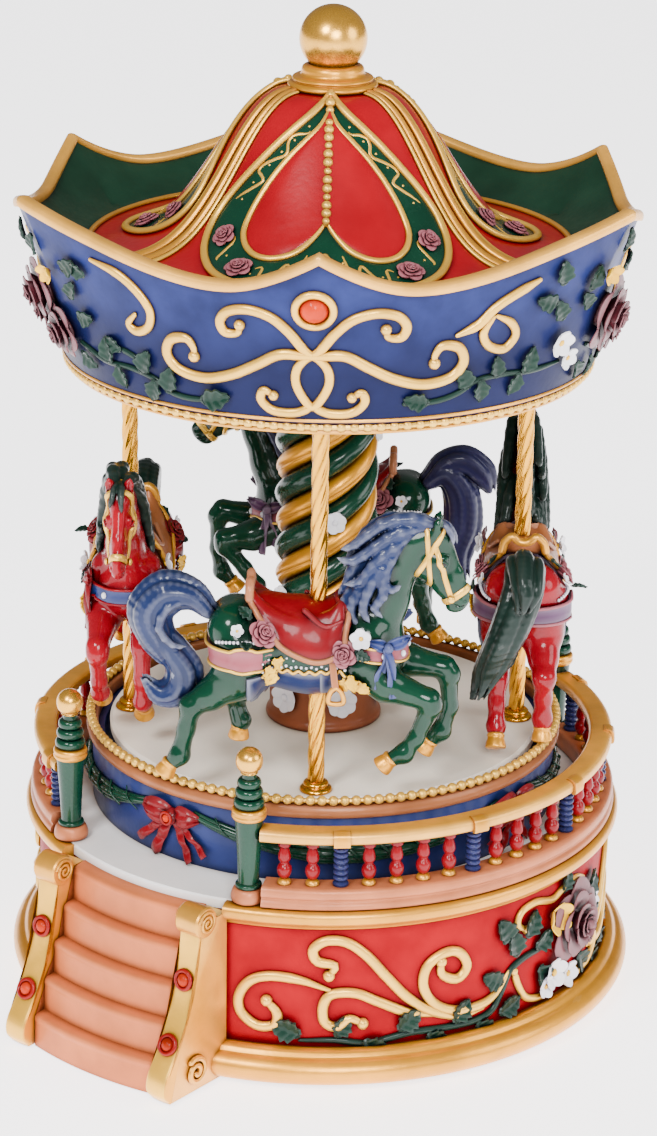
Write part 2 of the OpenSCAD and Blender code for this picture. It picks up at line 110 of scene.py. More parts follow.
def spline(points, n=40, closed=False):
    """A smooth curve through the points."""
    p = np.asarray(points, float)
    if closed:
        q, runs = np.vstack([p[-1:], p, p[:2]]), len(p)
    else:
        q, runs = np.vstack([2 * p[0] - p[1], p, 2 * p[-1] - p[-2]]), len(p) - 1
    t = np.linspace(0, runs, n, endpoint=not closed)
    i = np.minimum(t.astype(int), runs - 1)
    f = (t - i)[:, None]
    a, b, c, d = q[i], q[i + 1], q[i + 2], q[i + 3]
    return 0.5 * (2 * b + (c - a) * f + (2 * a - 5 * b + 4 * c - d) * f**2
                  + (3 * b - a - 3 * c + d) * f**3)


def even(path, n):
    """The same path with n points evenly spaced along it."""
    p = np.asarray(path)
    s = np.concatenate([[0], np.cumsum(np.linalg.norm(np.diff(p, axis=0), axis=1))])
    t = np.linspace(0, s[-1], n)
    return np.stack([np.interp(t, s, p[:, k]) for k in range(p.shape[1])], -1)


def fillet(points, r, steps=4, closed=False):
    """A profile with each corner rounded off over the length r."""
    p = np.asarray(points, float)
    n = len(p)
    out = []
    for i in range(n):
        if not closed and i in (0, n - 1):
            out.append(p[i])
            continue
        a, b, c = p[i - 1], p[i], p[(i + 1) % n]
        la, lc = np.linalg.norm(a - b), np.linalg.norm(c - b)
        s = b + (a - b) / la * min(r, la * 0.45)
        e = b + (c - b) / lc * min(r, lc * 0.45)
        for t in np.linspace(0, 1, steps + 1):
            out.append((1 - t) ** 2 * s + 2 * t * (1 - t) * b + t * t * e)
    return np.array(out)


def frame_at(az, r=0.0, z=0.0):
    """Axes right, outward and up, as seen from outside, at a compass angle."""
    a = math.radians(az)
    cols = [(math.cos(a), math.sin(a), 0), (math.sin(a), -math.cos(a), 0), (0, 0, 1)]
    return np.array(cols).T, polar(az, r, z)


def seat(surface, a, b, spin=0.0, off=0.0, size=1.0):
    """Axes right, up and normal at a point of a surface, turned by spin degrees about the normal."""
    e = 0.05
    right = unit(surface(a + e, b, 0.0) - surface(a - e, b, 0.0))
    up = surface(a, b + e, 0.0) - surface(a, b - e, 0.0)
    up = unit(up - right * (up @ right))
    normal = np.cross(right, up)
    c, s = math.cos(math.radians(spin)), math.sin(math.radians(spin))
    axes = np.stack([right * c + up * s, up * c - right * s, normal], -1)
    return axes * size, surface(a, b, 0.0) + normal * off


# ---- meshes ----


class Shape:
    """Collects faces, then becomes one mesh object that rides on a CAD body."""

    def __init__(self):
        self.verts, self.faces, self.kinds = [], [], []
        self.count = 0

    def add(self, verts, faces, mat):
        faces = np.asarray(faces, int)
        self.verts.append(np.asarray(verts, float).reshape(-1, 3))
        self.faces.append(faces + self.count)
        self.kinds.append([mat] * len(faces) if isinstance(mat, str) else list(mat))
        self.count += len(self.verts[-1])

    def grid(self, pts, mat, close_u=False, close_v=False, caps=(False, False)):
        """A sheet of quads over pts[u, v]; caps fan over the first and last rows."""
        nu, nv = pts.shape[:2]
        idx = np.arange(nu * nv).reshape(nu, nv)
        iu = np.arange(nu if close_u else nu - 1)
        jv = np.arange(nv if close_v else nv - 1)
        a = idx[iu][:, jv]
        b = idx[(iu + 1) % nu][:, jv]
        c = idx[(iu + 1) % nu][:, (jv + 1) % nv]
        d = idx[iu][:, (jv + 1) % nv]
        quads = np.stack([a, b, c, d], -1).reshape(-1, 4)
        if not isinstance(mat, str):
            mat = np.broadcast_to(mat, (len(iu), len(jv))).ravel()
        base = self.count
        self.add(pts, quads, mat)
        kind = mat if isinstance(mat, str) else mat[0]
        for flag, row in zip(caps, (0, nu - 1)):
            if flag:
                ring = idx[row] + base
                self.verts.append(pts[row].mean(0)[None])
                fan = np.stack([ring, np.roll(ring, -1), np.full(nv, self.count)], -1)
                self.faces.append(fan)
                self.kinds.append([kind] * nv)
                self.count += 1

    def tube(self, path, r, mat, sides=10, closed=False, up=None, flat=1.0):
        """A round or flattened bar along a path; flat is its height over its width."""
        p = np.asarray(path, float)
        n = len(p)
        r = np.broadcast_to(r, n).astype(float)
        t = unit(np.roll(p, -1, 0) - np.roll(p, 1, 0)) if closed else unit(np.gradient(p, axis=0))
        if up is None:
            u = np.zeros_like(p)
            u[0] = unit(np.cross(t[0], [0.31, 0.2, 0.93]))
            for i in range(1, n):
                u[i] = unit(u[i - 1] - t[i] * (u[i - 1] @ t[i]))
        else:
            u = np.broadcast_to(up, p.shape)
        s = unit(np.cross(t, u))
        u = np.cross(s, t)
        if not closed:
            grow = [(0.98, 0.25), (0.75, 0.66), (0.4, 0.92)]
            head = [(p[0] - t[0] * r[0] * a, r[0] * b, s[0], u[0]) for a, b in grow]
            tail = [(p[-1] + t[-1] * r[-1] * a, r[-1] * b, s[-1], u[-1]) for a, b in grow[::-1]]
            rows = head + list(zip(p, r, s, u)) + tail
            p, r, s, u = (np.array([row[k] for row in rows]) for k in range(4))
        a = np.linspace(0, 2 * np.pi, sides, endpoint=False)
        pts = p[:, None] + r[:, None, None] * (
            np.cos(a)[None, :, None] * s[:, None] + flat * np.sin(a)[None, :, None] * u[:, None])
        self.grid(pts, mat, close_u=closed, close_v=True, caps=(not closed, not closed))

    def lathe(self, prof, mat, n=192, a0=0.0, a1=360.0, closed=False, centre=(0, 0, 0)):
        """A profile of (radius, height) turned from compass angle a0 to a1."""
        prof = np.asarray(prof, float)
        full = a1 - a0 >= 360
        az = np.linspace(a0, a1, n, endpoint=not full)
        pts = polar(az[:, None], prof[None, :, 0], prof[None, :, 1]) + np.asarray(centre, float)
        self.grid(pts, mat, close_u=full, close_v=closed, caps=(not full and closed,) * 2)

    def ball(self, centre, r, mat, n=12, scale=(1, 1, 1), axes=None):
        """A ball, or an egg when scaled along its axes."""
        v = np.linspace(0, np.pi, max(n // 2, 4) + 1)[1:-1]
        u = np.linspace(0, 2 * np.pi, n, endpoint=False)
        pts = np.stack([np.sin(v)[:, None] * np.cos(u), np.sin(v)[:, None] * np.sin(u),
                        np.cos(v)[:, None] * np.ones(n)], -1) * np.asarray(scale) * r
        poles = np.array([[0, 0, 1], [0, 0, -1]]) * np.asarray(scale) * r
        if axes is not None:
            pts, poles = pts @ np.asarray(axes).T, poles @ np.asarray(axes).T
        base, m = self.count, pts.shape[0]
        self.grid(pts + centre, mat, close_v=True)
        self.verts.append(poles + centre)
        first, last = base + np.arange(n), base + (m - 1) * n + np.arange(n)
        self.faces.append(np.stack([first, np.roll(first, -1), np.full(n, self.count)], -1))
        self.faces.append(np.stack([last, np.roll(last, -1), np.full(n, self.count + 1)], -1))
        self.kinds += [[mat] * n, [mat] * n]
        self.count += 2

    def shell(self, pts, thick, mat, under=None):
        """A sheet pts[u, v] given thickness, closed round its edges."""
        du, dv = np.gradient(pts, axis=0), np.gradient(pts, axis=1)
        normal = unit(np.cross(du, dv))
        back = pts - normal * np.broadcast_to(thick, pts.shape[:2])[..., None]
        loop = np.concatenate([pts, back[:, ::-1]], 1)
        nv = pts.shape[1]
        kinds = np.array([mat] * nv + [under or mat] * nv)[None]
        base = self.count
        self.grid(loop, kinds, close_v=True)
        for row in (0, pts.shape[0] - 1):
            a = base + row * 2 * nv + np.arange(nv)
            b = base + row * 2 * nv + 2 * nv - 1 - np.arange(nv)
            self.faces.append(np.stack([a[:-1], a[1:], b[1:], b[:-1]], -1))
            self.kinds.append([mat] * (nv - 1))

    def place(self, other, *frames):
        """Copies another shape here, once for each (axes, origin)."""
        flat = np.concatenate(other.verts)
        for axes, origin in frames:
            start = self.count
            self.verts.append(flat @ np.asarray(axes).T + origin)
            self.count += len(flat)
            self.faces += [f + start for f in other.faces]
            self.kinds += other.kinds

    def build(self, name, body, nodes=(), slot=None, sharp=38.0, fix=True):
        """Makes the object, in metres, with its materials."""
        me = bpy.data.meshes.new(name)
        co = np.concatenate(self.verts) * 0.001
        loops = np.concatenate([f.ravel() for f in self.faces])
        sizes = np.concatenate([np.full(len(f), f.shape[1]) for f in self.faces])
        me.vertices.add(len(co))
        me.vertices.foreach_set("co", co.astype(np.float32).ravel())
        me.loops.add(len(loops))
        me.loops.foreach_set("vertex_index", loops.astype(np.int32))
        me.polygons.add(len(sizes))
        me.polygons.foreach_set("loop_start", (np.cumsum(sizes) - sizes).astype(np.int32))
        kinds = np.array([k for ks in self.kinds for k in ks])
        names, index = np.unique(kinds, return_inverse=True)
        for kind in names:
            me.materials.append(MATS[str(kind)])
        me.polygons.foreach_set("material_index", index.astype(np.int32))
        me.polygons.foreach_set("use_smooth", np.ones(len(sizes), bool))
        me.update(calc_edges=True)
        me.validate()
        if fix:
            bm = bmesh.new()
            bm.from_mesh(me)
            bmesh.ops.recalc_face_normals(bm, faces=bm.faces)
            bm.to_mesh(me)
            bm.free()
        if sharp:
            me.set_sharp_from_angle(angle=math.radians(sharp))
        obj = bpy.data.objects.new(name, me)
        bpy.context.scene.collection.objects.link(obj)
        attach(obj, body)
        if nodes:
            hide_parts(*([nodes] if isinstance(nodes, str) else nodes))
        return obj


# ---- surfaces that ornaments lie on; each takes (across, up, offset) ----


def on_wall(az, z, off=0.0):
    """Compass angle and height on the base's red wall."""
    return polar(az, WALL_R + off, z)


def near_points(az):
    """Nearness to the jewelled points and to the rose points: 1 at one, 0 at the end of its slope."""
    from_jewel = np.abs((np.asarray(az, float) - CAROUSEL_AZ + 3660) % 120 - 60)
    return 1 - from_jewel / JEWEL_SPREAD, 1 - (60 - from_jewel) / ROSE_SPREAD


def rim_z(az):
    """Height of the crown's edge, its hollows rounded."""
    jewel, rose = near_points(az)
    rounded = (rose + np.sqrt(rose**2 + 0.012)) / 2
    return VALLEY_Z + JEWEL_RISE * np.maximum(jewel, 0) ** 2.9 + ROSE_RISE * rounded


def rim_r(az):
    """Radius of the crown's edge."""
    jewel, rose = np.maximum(near_points(az), 0) ** 1.55
    return VALLEY_R + JEWEL_FLARE * jewel + ROSE_FLARE * rose


def fascia_r(az, t):
    """Radius of the fascia, a share t of the way up from the brim."""
    return BRIM_R + (rim_r(az) - BRIM_R) * t


def on_fascia(az, up, off=0.0):
    """az from the front point of the canopy, up in mm above the brim."""
    az = np.asarray(az, float) + CAROUSEL_AZ
    t = up / (rim_z(az) - BRIM_Z)
    hollow = 0.8 * np.sin(np.pi * np.clip(t, 0, 1))
    return polar(az, fascia_r(az, t) - hollow + off, BRIM_Z + np.asarray(up, float))


def roof_z(r):
    """An ogee: a full shoulder under the knob, sweeping out flat at the eaves."""
    return EAVES_Z + (ROOF_TOP - EAVES_Z) * np.exp(-((np.maximum(r - 12, 0) / 25.4) ** 2.2))


def roof_side(q):
    """The roof seen from compass angle q: x across, y minus the distance from the middle."""
    axes, _ = frame_at(q)

    def surface(x, y, off=0.0):
        x, y = np.asarray(x, float), np.asarray(y, float)
        r = np.hypot(x, y)
        slope = roof_z(r - 0.2) / 0.4 - roof_z(r + 0.2) / 0.4
        away = off * np.sin(np.arctan(slope)) / np.maximum(r, 1e-6)
        x, y = x * (1 + away), y * (1 + away)
        z = roof_z(r) + off * np.cos(np.arctan(slope))
        return np.stack(np.broadcast_arrays(x, -y, z), -1) @ axes.T
    return surface


def scroll(shape, surface, points, r, mat, n=44, flat=0.8, ends=(0.5, 0.5), balls=(0, 0)):
    """A raised scroll on a surface, tapering to its ends, with a bead at an end if asked."""
    lift = 0.35
    flat_path = even(spline(points, 160), n)
    path = surface(flat_path[:, 0], flat_path[:, 1], r * lift)
    outer = surface(flat_path[:, 0], flat_path[:, 1], r * lift + 1.0)
    s = np.linspace(0, 1, n)
    width = r * np.minimum(1, np.minimum(ends[0] + 3.2 * s, ends[1] + 3.2 * (1 - s)))
    shape.tube(path, width, mat, sides=10, up=unit(outer - path), flat=flat)
    for size, k in zip(balls, (0, -1)):
        if size:
            shape.ball(path[k], size, mat, n=10)


# ---- small ornaments, flat on x-y with z as the normal ----


def make_leaf(length, width, mat, teeth):
    """A pointed, toothed leaf from its stalk at the origin along +x, folded along its midrib."""
    s = Shape()
    fold, droop, thick = 0.35, 0.15, 0.5
    u = np.linspace(0, 1, 17)
    v = np.linspace(-1, 1, 9)
    half = width / 2 * np.sin(np.pi * u**0.8) ** 0.85 * (1 + 0.14 * np.cos(2 * np.pi * teeth * u))
    x = u[:, None] * length * np.ones(9)
    y = half[:, None] * v[None]
    z = fold * np.abs(y) - droop * length * (u[:, None] - 0.25) ** 2 + 0.9
    z = z + 0.12 * np.sin(u[:, None] * 22 - np.abs(v) * 4) * (np.abs(v) > 0.1)
    s.shell(np.stack([x, y, z], -1), thick, mat)
    return s


def make_rose(r, h, mat, seed=1):
    """A full rose: a wound bud and four rings of cupped petals with rolled lips."""
    s = Shape()
    rng = np.random.default_rng(seed)
    u = np.linspace(-1, 1, 11)[:, None]
    v = np.linspace(0, 1, 8)[None]
    rings = [(0.17, 1.0, 2, 1.7), (0.31, 0.97, 3, 1.35), (0.5, 0.84, 3, 1.25),
             (0.75, 0.6, 5, 0.82), (1.0, 0.34, 5, 0.86)]
    for k, (wide, tall, count, spread) in enumerate(rings):
        for j in range(count):
            a = 2 * np.pi * j / count + 0.85 * k + rng.uniform(-0.12, 0.12)
            top = 1 - 0.22 * u**2 - 0.1 * np.abs(u) ** 4
            t = v * top
            ang = a + u * spread * (0.62 + 0.38 * np.sin(t * np.pi / 2))
            rr = r * wide * (0.22 + 0.72 * t**0.75) * (1 + 0.07 * u)
            rr = rr + r * (0.05 + 0.1 * wide) * np.clip((t - 0.68) / 0.32, 0, 1) ** 1.5
            lip = np.clip((t - 0.8) / 0.2, 0, 1) ** 2
            z = h * tall * (0.1 + 0.9 * t**0.9) - h * (0.05 + 0.13 * wide) * lip
            s.shell(np.stack([rr * np.cos(ang), rr * np.sin(ang), z], -1), 0.34, mat)
    s.ball((0, 0, 0.55 * h), 0.16 * r, mat, scale=(1, 1, 2.4))
    s.ball((0, 0, 0.1), 0.5 * r, mat, n=16, scale=(1, 1, 0.45 * h / r))
    return s


def make_blossom(r, mat, heart, petals=5, cup=0.35):
    """A small flower with rounded petals and a beaded heart."""
    s = Shape()
    u = np.linspace(-1, 1, 9)[:, None]
    v = np.linspace(0.08, 1, 7)[None]
    for k in range(petals):
        a = 2 * np.pi * k / petals + 0.3
        t = v * (1 - 0.16 * u**2)
        ang = a + u * 0.66 * np.sin(np.pi * (0.18 + 0.62 * t)) ** 0.8
        z = 0.5 + cup * r * t**1.6 - 0.12 * r * np.abs(u) ** 2 * t
        s.shell(np.stack([r * t * np.cos(ang), r * t * np.sin(ang), z], -1), 0.4, mat)
    s.ball((0, 0, 0.7), 0.27 * r, heart, n=10, scale=(1, 1, 0.8))
    return s


def make_jewel(r, stone, ring_mat, ring=1.32):
    """A domed stone in a rounded ring."""
    s = Shape()
    a = np.linspace(0, 2 * np.pi, 28, endpoint=False)
    s.tube(np.stack([ring * r * np.cos(a), ring * r * np.sin(a), 0 * a + 0.5], -1), 0.3 * r,
           ring_mat, sides=10, closed=True, up=(0, 0, 1))
    prof = [(0.02, 0.85 * r), (0.45 * r, 0.8 * r), (0.72 * r, 0.55 * r), (0.98 * r, 0.25 * r),
            (1.08 * r, -0.3)]
    s.lathe(prof, stone, n=16)
    return s

# ---- painted finishes ----

MATS = {}


def link(tree, a, b):
    """Joins an output socket to an input socket."""
    tree.links.new(a, b)


def paint(name, colour, shade_and_wear, rough=0.34, metal=0.0, coat=0.35, grain=0.06, mottle=0.16,
          reach=2.6, edge=0.0, speck=0.0,
          shine=0.14, shade_heights=None):
    """Hand-painted resin: a mottled coat, painted shade in the hollows, and fine brush grain.

    colour and the second colour are linear; the second colour is painted shade, put into the hollows by
    ambient occlusion and low down between the given heights, and is also the colour of the worn flecks.
    reach is how far the painted shade spreads from a crevice in mm, edge paints a highlight on raised
    places, speck adds small worn flecks, shine is the gloss under the clear coat, and the last argument
    gives the heights between which the paint runs from painted shade to full colour.
    """
    m = bpy.data.materials.new(name)
    m.use_nodes = True
    t = m.node_tree
    t.nodes.clear()
    new = t.nodes.new
    out, bsdf = new("ShaderNodeOutputMaterial"), new("ShaderNodeBsdfPrincipled")
    link(t, bsdf.outputs[0], out.inputs[0])
    coord = new("ShaderNodeTexCoord")
    broad, fine = new("ShaderNodeTexNoise"), new("ShaderNodeTexNoise")
    broad.inputs["Scale"].default_value, broad.inputs["Detail"].default_value = 85, 4
    fine.inputs["Scale"].default_value, fine.inputs["Detail"].default_value = 620, 3
    link(t, coord.outputs["Object"], broad.inputs["Vector"])
    link(t, coord.outputs["Object"], fine.inputs["Vector"])
    tone = new("ShaderNodeMix")
    tone.data_type = "RGBA"
    low = [c * (1 - mottle) for c in colour]
    high = [min(1, c * (1 + mottle) + 0.012 * mottle) for c in colour]
    tone.inputs[6].default_value, tone.inputs[7].default_value = (*low, 1), (*high, 1)
    spread = new("ShaderNodeMapRange")
    spread.inputs["From Min"].default_value, spread.inputs["From Max"].default_value = 0.32, 0.68
    link(t, broad.outputs["Fac"], spread.inputs["Value"])
    link(t, spread.outputs[0], tone.inputs[0])
    colour_out = tone.outputs[2]
    # painted highlight: raised places found by pointiness are lightened towards a paler copy of the colour
    if edge:
        geo = new("ShaderNodeNewGeometry")
        ridge_highlight = new("ShaderNodeMapRange")
        ridge_highlight.inputs["From Min"].default_value, ridge_highlight.inputs["From Max"].default_value = 0.507, 0.565
        ridge_highlight.inputs["To Max"].default_value = edge
        link(t, geo.outputs["Pointiness"], ridge_highlight.inputs["Value"])
        lit = new("ShaderNodeMix")
        lit.data_type = "RGBA"
        lit.inputs[7].default_value = (*[min(1, 0.25 + c * 1.3) for c in colour], 1)
        link(t, ridge_highlight.outputs[0], lit.inputs[0])
        link(t, colour_out, lit.inputs[6])
        colour_out = lit.outputs[2]
    if speck:
        flecks = new("ShaderNodeTexNoise")
        flecks.inputs["Scale"].default_value = 1500
        link(t, coord.outputs["Object"], flecks.inputs["Vector"])
        cut = new("ShaderNodeMapRange")
        cut.inputs["From Min"].default_value, cut.inputs["From Max"].default_value = 0.7, 0.76
        cut.inputs["To Max"].default_value = speck
        link(t, flecks.outputs["Fac"], cut.inputs["Value"])
        worn = new("ShaderNodeMix")
        worn.data_type = "RGBA"
        worn.inputs[7].default_value = (*shade_and_wear, 1)
        link(t, cut.outputs[0], worn.inputs[0])
        link(t, colour_out, worn.inputs[6])
        colour_out = worn.outputs[2]
    # painted shade: the colour darkens towards the bottom, from mostly shade colour at the lower height to
    # full colour at the upper
    if shade_heights:
        axes, climb = new("ShaderNodeSeparateXYZ"), new("ShaderNodeMapRange")
        link(t, coord.outputs["Object"], axes.inputs[0])
        link(t, axes.outputs[2], climb.inputs["Value"])
        climb.inputs["From Min"].default_value = shade_heights[0] / 1000
        climb.inputs["From Max"].default_value = shade_heights[1] / 1000
        climb.inputs["To Min"].default_value = 0.25
        fall = new("ShaderNodeMix")
        fall.data_type = "RGBA"
        fall.inputs[6].default_value = (*shade_and_wear, 1)
        link(t, climb.outputs[0], fall.inputs[0])
        link(t, colour_out, fall.inputs[7])
        colour_out = fall.outputs[2]
    # painted shade: the shade colour is mixed into hollows that ambient occlusion finds within reach mm
    shade = new("ShaderNodeAmbientOcclusion")
    shade.samples = 6
    shade.inputs["Distance"].default_value = reach / 1000
    hollow = new("ShaderNodeMapRange")
    hollow.inputs["From Min"].default_value, hollow.inputs["From Max"].default_value = 0.4, 0.93
    link(t, shade.outputs["AO"], hollow.inputs["Value"])
    painted_shade_mix = new("ShaderNodeMix")
    painted_shade_mix.data_type = "RGBA"
    painted_shade_mix.inputs[6].default_value = (*shade_and_wear, 1)
    link(t, hollow.outputs[0], painted_shade_mix.inputs[0])
    link(t, colour_out, painted_shade_mix.inputs[7])
    link(t, painted_shade_mix.outputs[2], bsdf.inputs["Base Color"])
    gloss = new("ShaderNodeMapRange")
    gloss.inputs["To Min"].default_value, gloss.inputs["To Max"].default_value = rough * 0.8, rough * 1.25
    link(t, fine.outputs["Fac"], gloss.inputs["Value"])
    link(t, gloss.outputs[0], bsdf.inputs["Roughness"])
    bump = new("ShaderNodeBump")
    bump.inputs["Strength"].default_value = grain * 4
    bump.inputs["Distance"].default_value = 0.0002
    link(t, fine.outputs["Fac"], bump.inputs["Height"])
    link(t, bump.outputs[0], bsdf.inputs["Normal"])
    bsdf.inputs["Metallic"].default_value = metal
    bsdf.inputs["Specular IOR Level"].default_value = shine + 0.35 * metal
    bsdf.inputs["Coat Weight"].default_value = coat * 0.4
    bsdf.inputs["Coat Roughness"].default_value = 0.09
    MATS[name] = m
    return m


# each finish's second colour is painted shade for its hollows (and the colour of its worn flecks); edge sets
# a painted highlight on raised places
paint("red", (0.22, 0.0, 0.005), (0.04, 0.0, 0.001), rough=0.3, coat=0.6)
paint("roof_red", (0.33, 0.0, 0.007), (0.08, 0.0, 0.002), rough=0.32, coat=0.3, mottle=0.1)
paint("wall_red", (0.3, 0.0, 0.006), (0.06, 0.0, 0.002), rough=0.4, coat=0.0, shine=0.04)
paint("horse_red", (0.27, 0.0, 0.008), (0.03, 0.0, 0.001), rough=0.26, coat=1.1, reach=5.0, shine=0.08)
# fascia_blue gets painted shade, darker towards its lower edge between 203 and 222 mm
paint("fascia_blue", (0.014, 0.022, 0.105), (0.003, 0.004, 0.026), rough=0.38, coat=0.1,
      mottle=0.28, shine=0.08, shade_heights=(203, 222))
paint("drum_blue", (0.014, 0.024, 0.11), (0.002, 0.004, 0.022), rough=0.36, coat=0.2, mottle=0.25)
paint("bead_blue", (0.018, 0.022, 0.09), (0.003, 0.004, 0.02), rough=0.32)
paint("hair_blue", (0.01, 0.019, 0.068), (0.001, 0.002, 0.01), rough=0.3, coat=0.8, reach=2.2,
      edge=0.6, shine=0.12)
paint("hair_black", (0.004, 0.014, 0.01), (0.001, 0.002, 0.002), rough=0.3, reach=1.8, edge=0.12)
paint("hair_purple", (0.014, 0.014, 0.055), (0.002, 0.002, 0.012), rough=0.32, reach=1.8, edge=0.2)
paint("green", (0.001, 0.034, 0.016), (0.0, 0.006, 0.004), rough=0.26, coat=1.0, reach=3.2)
paint("horse_green", (0.0, 0.029, 0.013), (0.0, 0.003, 0.002), rough=0.24, coat=1.3, reach=5.0,
      shine=0.1)
paint("inner_green", (0.008, 0.035, 0.018), (0.002, 0.012, 0.007), rough=0.45, coat=0.15)
paint("vine_green", (0.001, 0.018, 0.011), (0.0, 0.003, 0.003), rough=0.34, edge=0.03, reach=1.8)
paint("leaf_green", (0.001, 0.02, 0.011), (0.0, 0.003, 0.003), rough=0.36, edge=0.06, reach=1.8)
paint("gold", (0.74, 0.31, 0.01), (0.13, 0.034, 0.001), rough=0.34, metal=0.62, coat=0.25,
      reach=1.8, mottle=0.12, edge=0.12)
paint("pale_gold", (0.86, 0.45, 0.035), (0.15, 0.042, 0.002), rough=0.33, metal=0.55, coat=0.25,
      reach=1.9, mottle=0.1, edge=0.16)
paint("deep_gold", (0.84, 0.42, 0.05), (0.2, 0.05, 0.003), rough=0.26, metal=0.85, coat=0.2,
      reach=2.2, mottle=0.08)
paint("peach", (0.5, 0.15, 0.055), (0.12, 0.025, 0.008), rough=0.38, metal=0.15, coat=0.2,
      edge=0.12)
paint("step", (0.6, 0.16, 0.05), (0.17, 0.035, 0.009), rough=0.44, metal=0.08, coat=0.12,
      reach=2.6, mottle=0.12)
paint("rim_gold", (0.84, 0.4, 0.055), (0.2, 0.06, 0.004), rough=0.36, metal=0.45, coat=0.2,
      mottle=0.16, edge=0.15)
paint("rail_gold", (0.78, 0.34, 0.025), (0.16, 0.045, 0.003), rough=0.36, metal=0.4, coat=0.2, edge=0.12)
paint("terracotta", (0.25, 0.07, 0.028), (0.06, 0.012, 0.005), rough=0.4, coat=0.2)
paint("cream", (0.97, 0.88, 0.75), (0.62, 0.5, 0.36), rough=0.42, coat=0.2, mottle=0.03, speck=0.1)
paint("deck_white", (0.9, 0.87, 0.85), (0.6, 0.54, 0.5), rough=0.42, coat=0.2, mottle=0.03,
      speck=0.08)
paint("white", (0.82, 0.8, 0.84), (0.36, 0.36, 0.46), rough=0.4, reach=1.2, mottle=0.05)
paint("mauve", (0.13, 0.024, 0.034), (0.014, 0.002, 0.004), rough=0.4, coat=0.2, reach=2.0,
      edge=0.22)
paint("rose_pink", (0.27, 0.055, 0.075), (0.04, 0.006, 0.01), rough=0.42, coat=0.2, reach=1.8,
      edge=0.2)
paint("yellow", (0.9, 0.5, 0.03), (0.3, 0.1, 0.006), rough=0.36, reach=1.4)
paint("tan", (0.34, 0.11, 0.035), (0.07, 0.015, 0.004), rough=0.38, metal=0.15, edge=0.12)
paint("ribbon_blue", (0.012, 0.024, 0.12), (0.002, 0.004, 0.02), rough=0.32, edge=0.2, reach=1.6)
paint("ribbon_mauve", (0.08, 0.03, 0.08), (0.012, 0.004, 0.014), rough=0.34, edge=0.3, reach=1.6)
paint("bow_red", (0.17, 0.0, 0.004), (0.02, 0.0, 0.001), rough=0.3, reach=2.0, edge=0.04)
paint("jewel_orange", (0.4, 0.02, 0.0), (0.14, 0.0, 0.0), rough=0.34, coat=0.35, mottle=0.5,
      reach=1.4, grain=0.0, shine=0.03)
paint("jewel_rim", (0.24, 0.004, 0.003), (0.06, 0.0, 0.0), rough=0.3, reach=0.9)
paint("black", (0.02, 0.02, 0.022), (0.005, 0.005, 0.005), rough=0.5, coat=0.0)
paint("felt", (0.03, 0.1, 0.06), (0.01, 0.03, 0.02), rough=0.95, coat=0.0, grain=0.3)
paint("steel", (0.6, 0.6, 0.62), (0.2, 0.2, 0.2), rough=0.3, metal=1.0, coat=0.0, mottle=0.06)
paint("brass", (0.8, 0.56, 0.22), (0.3, 0.15, 0.04), rough=0.24, metal=1.0, coat=0.0, mottle=0.06)
paint("pole_gold", (0.82, 0.38, 0.02), (0.16, 0.035, 0.002), rough=0.22, metal=0.9, coat=0.2,
      reach=1.7, mottle=0.06)
paint("eye", (0.008, 0.006, 0.006), (0.002, 0.002, 0.002), rough=0.08, coat=1.0, grain=0.0)

for node, kind in {"bottom_plate": "black", "plate_screws": "steel", "felt_pad": "felt",
                   "spindle_bushing": "brass", "movement_bedplate": "steel",
                   "movement_spacers": "brass", "movement_screws": "steel",
                   "music_comb": "steel", "comb_block": "brass", "cylinder_brackets": "brass",
                   "governor_brackets": "brass", "music_cylinder": "brass",
                   "governor_fan": "steel", "winding_key": "steel",
                   "spring_barrel": "brass"}.items():
    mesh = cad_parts[node].data
    mesh.materials.clear()
    mesh.materials.append(MATS[kind])

# ---- base ----


def facing(q):
    """Axes right, outward and up at a stair's compass angle, with its origin on the axis."""
    return frame_at(STAIR_AZ + q)[0]


GAP = math.degrees(math.asin(CUT_U / (WALL_R + 3))) - 1.2
HALVES = [(STAIR_AZ + GAP, STAIR_AZ + 180 - GAP), (STAIR_AZ + 180 + GAP, STAIR_AZ + 360 - GAP)]


def make_base():
    """The base wall with its mouldings and the deck."""
    s = Shape()
    s.lathe(fillet([(WALL_R - 3.5, 1), (WALL_R, 1), (WALL_R, 50), (WALL_R - 3.5, 50),
                    (WALL_R - 3.5, 7.5), (WALL_R - 10, 7.5), (WALL_R - 10, 4.6),
                    (WALL_R - 3.5, 4.6)], 0.4, 2, True), "wall_red", n=256, closed=True)
    s.build("base_wall", "base", "base_shell", "red_resin")
    s = Shape()
    inner, outer = WALL_R - 0.6, FOOT_R
    foot = [(inner, 1), (outer - 4.5, 1), (outer - 1.6, 1.9), (outer, 4.6), (outer - 0.2, 7.0),
            (outer - 1.9, 8.9), (outer - 3.4, 9.3), (outer - 3.8, 9.9), (outer - 4.6, 10.9),
            (outer - 6.4, 11.3), (outer - 7.6, 10.6), (inner, 10.4)]
    for a0, a1 in HALVES:
        s.lathe(fillet(foot, 1.4, 3, True), "gold", n=150, a0=a0 - 0.8, a1=a1 + 0.8, closed=True)
    s.build("foot_band", "base", "foot_molding", "gold_paint")
    s = Shape()
    top = [(inner, 46.6), (WALL_R + 1.0, 46.6), (WALL_R + 1.5, 47.5), (WALL_R + 2.3, 48.2),
           (WALL_R + 3.9, 49.4), (WALL_R + 4.0, 51.6), (WALL_R + 2.7, DECK_Z - 0.1),
           (inner, DECK_Z)]
    for a0, a1 in HALVES:
        s.lathe(fillet(top, 0.9, 3, True), "gold", n=150, a0=a0 + 0.6, a1=a1 - 0.6, closed=True)
    s.build("top_band", "base", "top_molding", "gold_paint")
    s = Shape()
    s.lathe([(6, DECK_Z), (WALL_R - 0.5, DECK_Z), (WALL_R - 0.05, DECK_Z - 0.5),
             (WALL_R - 0.05, 50), (6, 50)], "deck_white", n=256, closed=True)
    s.build("deck_floor", "base", "deck", "cream_resin")


